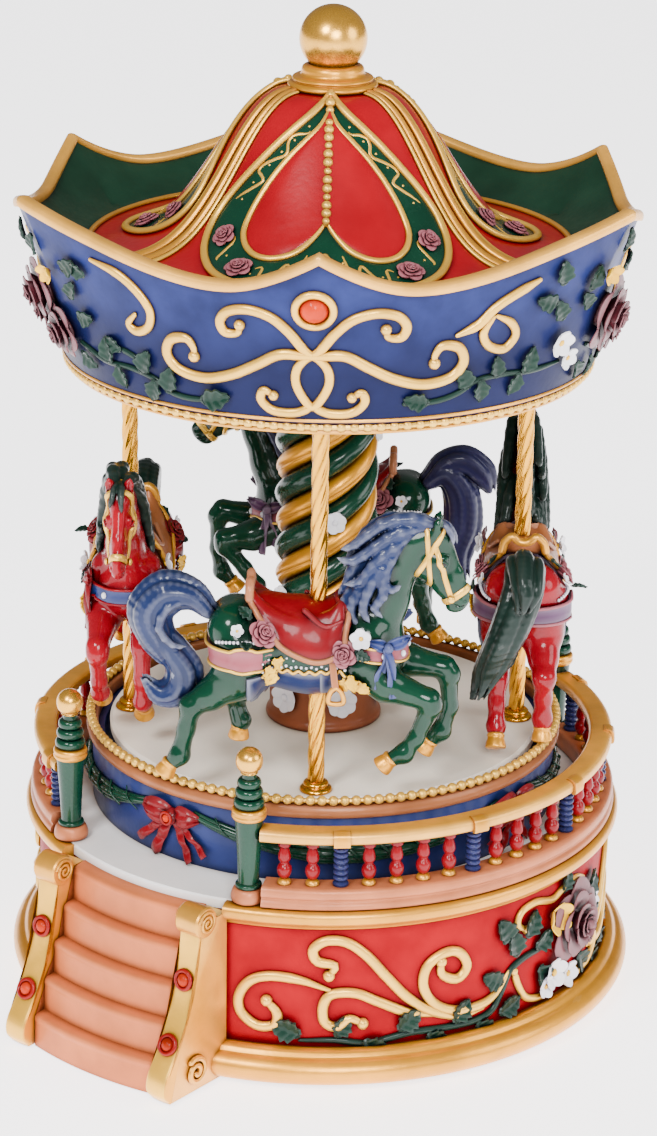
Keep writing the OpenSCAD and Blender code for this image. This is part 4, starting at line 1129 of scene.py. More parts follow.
# leaves: place, turn and length
VINE_LEAVES = [(-46.6, 9.6, 96, 7.4), (-44.6, 9.0, -74, 6.6), (-38, 9.4, 62, 7.4), (-34.4, 7.6, -110, 7),
               (-31.6, 5.2, 78, 7.6), (-23.6, 4.6, 14, 8.4), (-42.8, 14, 150, 6), (30.2, 8.8, 118, 7),
               (33.0, 10.2, -84, 6.6), (43.4, 10.4, 70, 7.6), (42.4, 10.2, -112, 6.6),
               (36.6, 10.6, 96, 6.2), (21.6, 5.6, 168, 7.0)]
CLUSTERS = {
    "left": dict(turns=(300,), roses=[(-7.4, 24, 8.4, 20), (-0.6, 14.6, 6.8, 70), (-16, 15, 6.2, 130)],
                 flowers=[(-11.5, 9.4, 0.9), (-17.4, 24.6, 1.0)], buds=[(1.6, 32.6, 1.05)],
                 leaves=[(6.4, 34.4, 30, 7), (12.4, 34.6, 160, 6.4), (-2.4, 36.4, 60, 7.6),
                         (-8, 37, 100, 7.6), (6.6, 20.4, 10, 6.6), (5.6, 26, 60, 6.2),
                         (4.2, 9.6, -30, 7), (-22, 20, 180, 7.4)]),
    "right": dict(turns=(60, 180), roses=[(7.2, 21.4, 9.2, 35), (15.4, 13.4, 6.6, 80)],
                  flowers=[(-8.4, 17.2, 1.15), (-4.6, 11.6, 0.95)], buds=[(-0.8, 36, 1.15)],
                  leaves=[(-12.4, 35.4, 100, 7.4), (-12.6, 29.8, 165, 7.4), (-9.6, 24.4, 120, 7),
                          (-4.4, 31.6, 75, 7.6), (2.6, 40.5, 95, 7.6), (14.4, 30.4, 40, 7.6),
                          (0.6, 8.4, -60, 7), (8.8, 7.6, -90, 6.6), (-2.4, 26, 130, 6.4)]),
}


def make_fascia_ornaments():
    """Scrolls, vines, stones and rose clusters on the fascia."""
    gold, gems, roses = Shape(), Shape(), Shape()
    leaf = make_leaf(6.2, 4.2, "leaf_green", teeth=3)
    flower = make_blossom(3.6, "white", "yellow")
    bud = make_blossom(3.0, "yellow", "tan", cup=0.7)
    for turn in (0, 120, 240):
        def surface(x, up, off=0.0, turn=turn):
            return on_fascia(np.asarray(x, float) + turn, up, off)
        for pts, size in FASCIA_SCROLLS.values():
            for line in (pts, mirrored(pts, PANEL)):
                scroll(gold, surface, line, size, "pale_gold", n=90, ends=(0.7, 0.5), flat=0.72,
                       balls=(0, size * 1.1))
        loop = [(-1.2, 20.2), (1.4, 17.0), (2.0, 12.6), (0.8, 8.2), (-1.2, 5.2), (-3.2, 8.2),
                (-4.4, 12.6), (-3.8, 17.0)]
        flat_loop = spline(loop, 80, closed=True)
        path = surface(flat_loop[:, 0], flat_loop[:, 1], 0.4)
        gold.tube(path, 1.25, "pale_gold", sides=10, closed=True, flat=0.75,
                  up=unit(path * (1, 1, 0)))
        gems.place(make_jewel(3.8, "jewel_orange", "pale_gold", 1.3),
                   seat(surface, PANEL + 0.4, 33.8, 0, -0.1))
        for line, size in SWIRLS:
            scroll(gold, surface, line, size, "pale_gold", n=70, ends=(0.45, 0.5), flat=0.72)
        for line in FASCIA_VINES:
            scroll(roses, surface, line, 0.85, "vine_green", n=60, ends=(0.8, 0.5))
        for x, z, spin, length in VINE_LEAVES:
            roses.place(leaf, seat(surface, x, z, spin, 0.2, length / 6.2))
    for kind in CLUSTERS.values():
        for turn in kind["turns"]:
            def cluster(x, up, off=0.0, turn=turn):
                return on_fascia(turn + np.asarray(x, float), up, off)
            for k, (x, z, size, spin) in enumerate(kind["roses"]):
                rose = make_rose(size * 1.1, size * 0.85, "mauve", 5 + k)
                roses.place(rose, seat(cluster, x, z, spin, 0.3))
            for x, z, size in kind["flowers"]:
                roses.place(flower, seat(cluster, x, z, x * 9, 0.7, size))
            for x, z, size in kind["buds"]:
                roses.place(bud, seat(cluster, x, z, 0, 0.7, size))
            for x, z, spin, length in kind["leaves"]:
                roses.place(leaf, seat(cluster, x, z, spin, 0.4, length / 6.2))
    gold.build("crown_scrolls", "carousel", "fascia_scrolls", "gold_paint", sharp=60)
    gems.build("crown_gems", "carousel", "fascia_jewels", "jewel")
    roses.build("crown_roses", "carousel", "fascia_roses", "mauve_resin", sharp=60)


def heart_line(points):
    """An outline given in degrees and radius, as a smooth line in the roof's plan."""
    az, r = spline(points, 200).T
    return np.stack([r * np.sin(np.radians(az)), r * np.cos(np.radians(az))], -1)


def make_roof():
    """The bell-shaped roof with its hearts and ribs, and the knob."""
    s = Shape()
    rs = np.concatenate([np.linspace(9, 12, 3), np.linspace(14, ROOF_R, 46)])
    top = np.stack([rs, roof_z(rs)], -1)
    low = np.stack([rs[::-1], roof_z(rs[::-1]) - 2.5], -1)
    s.lathe(np.vstack([top, low]), "roof_red", n=240, closed=True)
    s.build("roof_skin", "carousel", "roof_cone", "red_resin", sharp=30)

    # the heart in degrees off its middle line and radius, one side
    outer = [(0, 12.8), (5, 16.6), (13, 20.2), (22, 23.4), (30.5, 26.6), (38.5, 30.2), (45, 34), (48.6, 38),
             (48.4, 42), (45, 46.4), (39.3, 51), (32, 55.6), (24, 58.8), (16, 58.4), (9, 54.6), (4, 49.6),
             (0, 46)]
    inner = [(0, 20), (5, 22.8), (13.6, 25.8), (21, 28.6), (27, 31.8), (30.9, 35.4), (32.4, 39), (31.7, 42),
             (28, 45), (22.5, 47), (16.3, 47), (9.6, 44.8), (3.6, 40.8), (0, 38)]
    s = Shape()
    for q in range(3):
        surface = roof_side(CAROUSEL_AZ + 120 * q)
        for side in (-1, 1):
            o, i = (even(heart_line(line), 110) * (side, -1) for line in (outer, inner))
            w = np.linspace(0, 1, 9)[None, :, None]
            band = o[:, None] * (1 - w) + i[:, None] * w
            rise = 0.55 + 0 * band[..., 0]
            s.grid(surface(band[..., 0], band[..., 1], rise), "green")
            spine = np.stack([np.zeros(110), np.maximum(i[:, 1], i[-1, 1])], -1)
            w = np.linspace(0, 1, 14)[None, :, None]
            puff = i[:, None] * (1 - w) + spine[:, None] * w
            lift = 0.6 + 1.3 * np.sin(np.pi / 2 * np.minimum(1, 2.4 * w[..., 0])) \
                * np.clip((50 + puff[..., 1]) / 12, 0, 1) ** 0.5
            s.grid(surface(puff[..., 0], puff[..., 1], lift), "roof_red")
            for line, size in ((o, 1.15), (i, 0.95)):
                path = surface(line[:, 0], line[:, 1], 0.75)
                up = unit(surface(line[:, 0], line[:, 1], 1.75) - path)
                s.tube(path, size, "pale_gold", sides=10, up=up, flat=0.85)
            # filigree and roses in the green band
            centre = (o + i) / 2
            width = np.linalg.norm(o - i, axis=1)
            t = np.arange(110)
            for lo, hi, waves in ((10, 42, 3.0), (50, 62, 1.0), (74, 104, 2.6)):
                k = t[lo:hi]
                phase = (k - lo) / (hi - lo) * waves * 2 * np.pi
                d = unit(i[k] - o[k])
                for amp, shift, size in ((0.26, 0.0, 0.62), (-0.24, 0.5, 0.45)):
                    line = centre[k] + d * (amp * width[k] * np.sin(phase + shift))[:, None]
                    scroll(s, surface, line[::2], size, "pale_gold", n=60, ends=(0.5, 0.5))
                for j in range(int(waves * 2)):
                    m = int(lo + (j + 0.5) * (hi - lo) / (waves * 2))
                    n = unit(o[min(m + 1, 109)] - o[m - 1])
                    c, wd = centre[m], width[m]
                    flip = 1 if j % 2 else -1
                    a = np.linspace(0, 1.5 * np.pi, 10)
                    rad = 0.3 * wd * (1 - a / 7.5)
                    d1 = unit(i[m] - o[m])
                    curl = c + flip * d1 * 0.1 * wd + np.outer(rad * np.cos(a) * 0.8, n) \
                        + np.outer(flip * rad * np.sin(a) * 0.8, d1)
                    scroll(s, surface, curl, 0.42, "pale_gold", n=26, ends=(0.9, 0.5), balls=(0, 0.55))
            for m, size in ((50, 3.1), (70, 3.6)):
                c = centre[m]
                s.place(make_rose(size, 2.6, "rose_pink", m), seat(surface, c[0], c[1], 40, 0.6))
            # the paired ribs between two hearts
            r = np.linspace(12.6, 67.2, 60)
            rib = roof_side(CAROUSEL_AZ + 60 + 120 * q)
            for off, size, mat in ((2.6, 1.35, "gold"), (5.2, 0.7, "pale_gold")):
                x = side * (0.62 * off + off * 0.42 * (r - 12) / 56)
                path = rib(x, -r, 0.35)
                s.tube(path, size * (0.75 + 0.45 * (r - 12) / 56), mat, sides=10, flat=0.9,
                       up=unit(rib(x, -r, 1.35) - path))
        for k, r in enumerate(np.linspace(22.6, 38.6, 13)):
            s.ball(surface(0, -r, 1.6), 1.45 if k % 3 else 1.15, "pale_gold", n=12)
        for r, size in ((12.6, 1.1), (14.4, 1.35), (17.6, 1.5), (19.6, 1.2)):
            s.ball(surface(0, -r, 1.0), size, "pale_gold", n=12)
        path = surface(np.zeros(24), -np.linspace(12.8, 39.0, 24), 1.0)
        s.tube(path, 0.8, "gold", sides=8, up=unit(surface(0.0, -30.0, 1.0) - surface(0.0, -30.0, 0.0)))
    a = np.arange(0, 360, 2)
    s.tube(polar(a, ROOF_R - 0.9, roof_z(ROOF_R - 0.9) + 0.4), 0.9, "gold", sides=8, closed=True,
           up=(0, 0, 1))
    s.build("roof_hearts", "carousel", "roof_ornaments", "gold_paint", sharp=60)

    s = Shape()
    z = ROOF_TOP
    knob = [(0.5, z + 0.05), (10.6, z + 0.05), (12.2, z + 0.3), (12.6, z + 1.2), (12.0, z + 2.0),
            (11.2, z + 2.3), (11.4, z + 2.9), (10.9, z + 3.5), (9.4, z + 3.8), (8.9, z + 4.4),
            (8.7, z + 5.6), (8.2, z + 6.4), (6.9, z + 6.9)]
    s.lathe(spline(knob, 70), "gold", n=96)
    a = np.linspace(-0.82, np.pi / 2 - 0.01, 50)
    s.lathe(np.stack([9.5 * np.cos(a), z + 13.9 + 9.5 * np.sin(a)], -1), "deep_gold", n=96)
    s.build("top_knob", "carousel", "finial", "gold_paint", sharp=60)


make_turntable()
make_column()
make_canopy()
make_fascia_ornaments()
make_roof()

# ---- modelling clay: smooth solids on a grid, turned into a mesh ----


class Clay:
    """A distance field in a box, in the horse's own millimetres; negative is inside."""

    def __init__(self, low, high, step):
        self.low, self.step = np.array(low, float), step
        self.dims = np.ceil((np.array(high) - low) / step).astype(int) + 1
        self.f = np.full(self.dims, 30.0, np.float32)

    def window(self, low, high):
        """The part of the grid between two corners, and where its points lie."""
        a = np.clip(np.floor((low - self.low) / self.step).astype(int), 0, self.dims - 1)
        b = np.clip(np.ceil((high - self.low) / self.step).astype(int) + 1, 1, self.dims)
        axes = [self.low[k] + self.step * np.arange(a[k], b[k]) for k in range(3)]
        box = tuple(slice(a[k], b[k]) for k in range(3))
        return box, np.stack(np.meshgrid(*axes, indexing="ij"), -1).astype(np.float32)

    def blend(self, box, d, k):
        """Adds a solid to the clay, filleted over the length k."""
        f = self.f[box]
        h = np.clip(0.5 + 0.5 * (f - d) / k, 0, 1)
        self.f[box] = f * (1 - h) + d * h - k * h * (1 - h)

    def carve(self, box, d, k):
        """Takes a solid out of the clay, its lip rounded over the length k."""
        f = self.f[box]
        h = np.clip(0.5 - 0.5 * (f + d) / k, 0, 1)
        self.f[box] = f * (1 - h) - d * h + k * h * (1 - h)

    def limb(self, p, q, r1, r2, k=2.0, thin=1.0):
        """A tapered bar between two points; thin narrows it sideways."""
        p, q = np.array(p, float), np.array(q, float)
        pad = max(r1, r2) + k + 2.2
        box, x = self.window(np.minimum(p, q) - pad, np.maximum(p, q) + pad)
        ax = q - p
        rel = x - p
        t = np.clip(rel @ ax / max(ax @ ax, 1e-9), 0, 1)
        d = rel - t[..., None] * ax
        d[..., 1] /= thin
        self.blend(box, np.sqrt((d**2).sum(-1)) - (r1 + (r2 - r1) * t), k)

    def chain(self, points, radii, k=2.0, thin=1.0):
        """A run of limbs through the points."""
        for p, q, a, b in zip(points, points[1:], radii, radii[1:]):
            self.limb(p, q, a, b, k, thin)

    def egg(self, c, r, k=2.0, dig=False):
        """An egg with three radii, added or dug out."""
        c, r = np.array(c, float), np.array(r, float)
        box, x = self.window(c - r - k - 2, c + r + k + 2)
        n = np.sqrt((((x - c) / r) ** 2).sum(-1))
        d = (n - 1) * r.min()
        if dig:
            self.carve(box, d, k)
        else:
            self.blend(box, d, k)

    def dig(self, path, r, k=0.5):
        """A groove along a path."""
        for p, q in zip(path, path[1:]):
            p, q = np.array(p, float), np.array(q, float)
            box, x = self.window(np.minimum(p, q) - r - k - 1, np.maximum(p, q) + r + k + 1)
            ax = q - p
            t = np.clip((x - p) @ ax / max(ax @ ax, 1e-9), 0, 1)
            self.carve(box, np.sqrt(((x - p - t[..., None] * ax) ** 2).sum(-1)) - r, k)

    def value(self, pts):
        """The distance field at any points, blended between the grid's own."""
        g = (np.asarray(pts, float) - self.low) / self.step
        g = np.clip(g, 0, self.dims - 1.001)
        i = g.astype(int)
        t = g - i
        out = 0
        for dx in (0, 1):
            for dy in (0, 1):
                for dz in (0, 1):
                    w = (np.where(dx, t[..., 0], 1 - t[..., 0]) * np.where(dy, t[..., 1], 1 - t[..., 1])
                         * np.where(dz, t[..., 2], 1 - t[..., 2]))
                    out = out + w * self.f[i[..., 0] + dx, i[..., 1] + dy, i[..., 2] + dz]
        return out

    def slope(self, pts):
        """The direction away from the skin."""
        e = 0.4
        d = [self.value(pts + e * a) - self.value(pts - e * a) for a in np.eye(3)]
        return unit(np.stack(d, -1))

    def settle(self, pts, off=0.0, rounds=5, most=1.2):
        """Moves points to lie off above the skin."""
        pts = np.array(pts, float)
        for _ in range(rounds):
            move = np.clip(self.value(pts) - off, -most, most)
            pts = pts - move[..., None] * self.slope(pts)
        return pts

    def cast(self, origin, direction, off=0.0, reach=24.0):
        """Outermost skin along a direction from a point inside."""
        origin, direction = np.broadcast_arrays(np.asarray(origin, float), unit(direction))
        r = np.arange(0, reach, 0.3)
        inside = self.value(origin[..., None, :] + r[:, None] * direction[..., None, :]) < 0
        last = np.where(inside, r, 0).max(-1)
        return self.settle(origin + (last[..., None] + 0.15) * direction, off, 3, 0.5)

    def mesh(self):
        """Vertices and quads of the zero surface."""
        f = self.f
        s = f < 0
        corners = [(i, j, k) for i in (0, 1) for j in (0, 1) for k in (0, 1)]
        n = self.dims - 1

        def view(c):
            return tuple(slice(c[a], c[a] + n[a]) for a in range(3))
        total = sum(s[view(c)].astype(np.int8) for c in corners)
        cells = np.argwhere((total > 0) & (total < 8))
        index = np.full(n, -1, int)
        index[tuple(cells.T)] = np.arange(len(cells))
        vals = {c: f[tuple((cells + c).T)] for c in corners}
        acc, cnt = np.zeros((len(cells), 3)), np.zeros(len(cells))
        for a in corners:
            for axis in range(3):
                if a[axis]:
                    continue
                b = list(a)
                b[axis] = 1
                va, vb = vals[a], vals[tuple(b)]
                cross = (va < 0) != (vb < 0)
                t = np.where(cross, va / np.where(cross, va - vb, 1), 0)
                p = np.tile(np.array(a, float), (len(cells), 1))
                p[:, axis] += t
                acc += np.where(cross[:, None], p, 0)
                cnt += cross
        pts = (cells + acc / cnt[:, None]) * self.step + self.low
        quads = []
        for axis in range(3):
            u, v = (axis + 1) % 3, (axis + 2) % 3
            lo = tuple(slice(0, -1) if k == axis else slice(1, -1) for k in range(3))
            hi = tuple(slice(1, None) if k == axis else slice(1, -1) for k in range(3))
            edge = np.argwhere(s[lo] != s[hi])
            edge[:, u] += 1
            edge[:, v] += 1
            flip = s[tuple(edge.T)]
            eu, ev = np.eye(3, dtype=int)[u], np.eye(3, dtype=int)[v]
            ring = [index[tuple((edge - du * eu - dv * ev).T)]
                    for du, dv in ((0, 0), (1, 0), (1, 1), (0, 1))]
            ring = np.stack(ring, -1)
            ring[~flip] = ring[~flip][:, ::-1]
            quads.append(ring)
        quads = np.concatenate(quads)
        quads = quads[(quads >= 0).all(1)]
        return self.settle(pts, 0.0, 2, 0.3), quads


# ---- one horse; the pole is the origin, it faces +x, -y is the side away from the column ----

A_POSE = {
    "neck": [((13, 0, 49), 9.6), ((17.2, 0, 58), 7.4), ((20.5, 0, 66.5), 5.9), ((24.5, 0, 73.5), 5.0),
             ((30.4, 0, 76), 4.3)],
    "head": [((31.6, 0, 75), 4.1), ((30.2, 0, 68.6), 4.7), ((34.8, 0, 62.4), 3.5), ((38, 0, 57.0), 2.75)],
    "brow": [((33.2, 0, 74.4), 3.0), ((37.2, 0, 65.2), 2.2), ((39.4, 0, 59.4), 2.1)],
    "lip": (37.0, 0, 55.6), "nose": (40.3, 57.9), "eye": (33.6, 69.2),
    "ear": (31.9, 78.2), "tilt": (0.9, 3.9),
    "legs": [
        [((12, -5, 40), 6.4), ((19, -6.2, 34.8), 4.9), ((30.8, -6.6, 30.6), 3.1), ((31.3, -6.6, 28.6), 2.75),
         ((27.6, -6.6, 19), 2.15), ((24.4, -6.6, 14.4), 2.5), ((21.6, -6.6, 13.0), 2.2)],
        [((14, 5, 41), 6.2), ((24, 6.2, 37.4), 4.7), ((35.0, 6.6, 35.2), 3.1), ((36.2, 6.6, 33), 2.8),
         ((36.9, 6.6, 23.5), 2.15), ((34.6, 6.6, 16), 2.5), ((32.2, 6.6, 13.6), 2.2)],
        [((-20, -4.6, 44), 9.0), ((-22.5, -5.6, 35.4), 6.6), ((-29, -6.3, 30.4), 4.3),
         ((-34.4, -6.6, 27), 3.1), ((-35.8, -6.6, 20), 2.35), ((-37.6, -6.6, 12.2), 2.7),
         ((-39.2, -6.6, 10.4), 2.3)],
        [((-17, 4.6, 43), 8.6), ((-17.5, 5.6, 34), 5.8), ((-20, 6.3, 28), 3.6), ((-23.4, 6.6, 25.4), 3.0),
         ((-22.2, 6.6, 20), 2.25), ((-21.4, 6.6, 17.6), 2.5), ((-21.6, 6.6, 16.4), 2.2)]],
    "hooves": [((20.4, -6.6, 12.4), (-0.72, -0.69)), ((31.2, 6.6, 12.6), (-0.55, -0.83)),
               ((-40.4, -6.6, 9.4), (-0.5, -0.87)), ((-21.8, 6.6, 15.6), (-0.1, -0.99))],
}
B_POSE = {
    "neck": [((13, 0, 49), 9.6), ((17.6, 0, 59), 7.4), ((21.4, 0, 68), 5.8), ((25.4, 0, 75.8), 4.9),
             ((31, 0, 80), 4.2)],
    "head": [((31.6, 0, 79.4), 4.0), ((31.4, 0, 74.2), 4.6), ((35.8, 0, 70.4), 3.4), ((39.6, 0, 67.2), 2.7)],
    "brow": [((34, 0, 79.4), 2.9), ((38.6, 0, 73.4), 2.2), ((41.6, 0, 69), 2.0)],
    "lip": (38.8, 0, 65.6), "nose": (42.2, 68.6), "eye": (34.9, 75.6),
    "ear": (31.2, 82.6), "tilt": (0.6, 3.9),
    "legs": [
        [((12, -5, 41), 6.4), ((22, -6.2, 38.6), 4.8), ((34.2, -6.6, 40.6), 3.1), ((35.6, -6.6, 38.4), 2.75),
         ((36.0, -6.6, 28), 2.15), ((34.4, -6.6, 20.4), 2.5), ((32.4, -6.6, 18.2), 2.2)],
        [((14, 5, 41), 6.2), ((24, 6.2, 37.0), 4.7), ((32.6, 6.6, 35.6), 3.1), ((32.4, 6.6, 33.4), 2.8),
         ((26.4, 6.6, 26.2), 2.15), ((22.6, 6.6, 20.6), 2.5), ((22.8, 6.6, 17.8), 2.2)],
        [((-20, -4.6, 44), 9.0), ((-21, -5.6, 35), 6.4), ((-26, -6.3, 29), 4.2), ((-31.4, -6.6, 25), 3.1),
         ((-29.6, -6.6, 18), 2.35), ((-28.6, -6.6, 11.4), 2.7), ((-29, -6.6, 9.4), 2.3)],
        [((-17, 4.6, 43), 8.6), ((-18, 5.6, 34), 5.8), ((-22, 6.3, 27), 3.8), ((-27, 6.6, 22.8), 3.0),
         ((-28.6, 6.6, 16), 2.25), ((-30.6, 6.6, 9.6), 2.5), ((-31.8, 6.6, 8.2), 2.2)]],
    "hooves": [((31.2, -6.6, 16.8), (-0.62, -0.78)), ((22.8, 6.6, 16.8), (0.1, -0.99)),
               ((-29.2, -6.6, 8.4), (-0.2, -0.98)), ((-32.8, 6.6, 7.2), (-0.5, -0.86))],
}


def sculpt_horse(pose, step):
    """A horse's body, neck, head and legs, with the pole's hole through it."""
    c = Clay((-47, -13.5, 1.5), (46, 13.5, 89), step)
    c.limb((-16.5, 0, 44.6), (-2, 0, 42.6), 12.0, 11.6, 4, 0.82)
    c.limb((-2, 0, 42.6), (11, 0, 43.6), 11.6, 11.2, 4, 0.82)
    c.limb((14, 0, 47), (17.6, 0, 42.5), 8.6, 7.0, 4, 0.95)
    for side in (-1, 1):
        c.limb((-23, side * 3.6, 49), (-19, side * 5.0, 42), 7.2, 7.6, 3)
        c.limb((13.5, side * 5.4, 49), (16.5, side * 5.6, 40.5), 4.6, 4.8, 2.5)
    for (p, r1), (q, r2) in zip(pose["neck"], pose["neck"][1:]):
        c.limb(p, q, r1, r2, 3, 0.72)
    c.chain([p for p, _ in pose["head"]], [r for _, r in pose["head"]], 1.8, 0.74)
    c.chain([p for p, _ in pose["brow"]], [r for _, r in pose["brow"]], 1.2, 0.8)
    lip = np.array(pose["lip"], float)
    c.egg(lip, (2.1, 1.7, 1.5), 0.9)
    c.egg(lip + (1.9, 0, 2.1), (2.2, 2.2, 2.0), 1.0)
    ex, ez = pose["eye"]
    jaw = np.array(pose["head"][1][0], float)
    for side in (-1, 1):
        c.egg(jaw + (0.2, side * 2.0, -0.6), (3.8, 2.2, 3.9), 1.2)
        c.egg((ex, side * 3.0, ez), (1.7, 1.1, 1.5), 0.7)
        c.egg((ex - 0.2, side * 2.9, ez + 1.5), (2.2, 0.9, 0.7), 0.5)
        c.egg((pose["nose"][0] + 0.1, side * 1.9, pose["nose"][1] + 0.4), (0.8, 0.7, 0.6), 0.4, True)
        c.dig([lip + (2.6, side * 1.4, 0.9), lip + (0.6, side * 1.9, 0.8), lip + (-0.9, side * 1.9, 1.4)],
              0.32, 0.3)
        ear = np.array([pose["ear"][0], side * 2.3, pose["ear"][1]])
        tip = ear + (pose["tilt"][0], side * 0.8, pose["tilt"][1])
        c.limb(ear - (0, 0, 1.6), (ear * 0.45 + tip * 0.55), 1.5, 1.3, 0.6)
        c.limb((ear * 0.45 + tip * 0.55), tip, 1.3, 0.35, 0.4)
        c.dig([ear + (1.2, side * 0.5, -0.2), tip + (0.7, side * 0.3, -0.8)], 0.55, 0.3)
        c.dig([(19, side * 8.2, 49), (20.6, side * 8.0, 43), (18.5, side * 8.2, 37)], 0.5, 1.4)
    for leg in pose["legs"]:
        c.chain([p for p, _ in leg], [r for _, r in leg], 1.6)
        knee = np.array(leg[-4][0], float)
        c.egg(knee + (0.4, 0, 0.2), (2.9, 2.8, 2.9), 1.0)
        ankle = np.array(leg[-2][0], float)
        c.egg(ankle, (2.6, 2.5, 2.5), 0.8)
    c.uncut = c.f.copy()
    c.f = np.maximum(c.f, (POLE_R + 0.1) - np.hypot(*[g for g in np.meshgrid(
        c.low[0] + c.step * np.arange(c.dims[0]), c.low[1] + c.step * np.arange(c.dims[1]),
        indexing="ij")])[..., None]).astype(np.float32)
    return c


def add_lock(c, path, r):
    """One lock of hair, full in the middle and drawn to a point."""
    n, tip = 9, 0.25
    p = spline(path, n)
    s = np.linspace(0, 1, n)
    w = r * np.maximum(np.minimum(1, 0.62 + 1.6 * s) * np.sqrt(np.clip(1 - s, 0, 1)) ** 0.8, tip / r)
    for a, b, ra, rb in zip(p, p[1:], w, w[1:]):
        c.limb(a, b, ra, rb, 0.45)


def tail_strands(c, spine, half, y0, count, r):
    """Parallel strands along a tail's spine, spread over its width and rounded sideways."""
    p = spline([q[0] for q in spine], 26)
    wide = np.interp(np.linspace(0, 1, 26), np.linspace(0, 1, len(spine)), [q[1] for q in spine])
    d = unit(np.gradient(p, axis=0))
    across = np.stack([-d[:, 2], np.zeros(26), d[:, 0]], -1)
    s = np.linspace(0, 1, 26)
    for j in range(count):
        u = -1 + 2 * j / (count - 1)
        for side in (-1, 1):
            wave = 0.12 * np.sin(5 * s + 1.7 * j + side)
            q = p + across * ((u + wave) * wide * half)[:, None]
            q[:, 1] += side * y0 * np.sqrt(max(0.0, 1.04 - u * u)) * (1 - 0.6 * s**3)
            w = r * np.clip(wide, 0.3, 1.2) * np.where(s > 0.85, 1 - (s - 0.85) * 4.6, 1)
            q[:, 1] += 0.5 * np.sin(4 * s + j)
            for a, b, ra, rb in zip(q, q[1:], w, w[1:]):
                c.limb(a, b, ra, rb, 0.5)


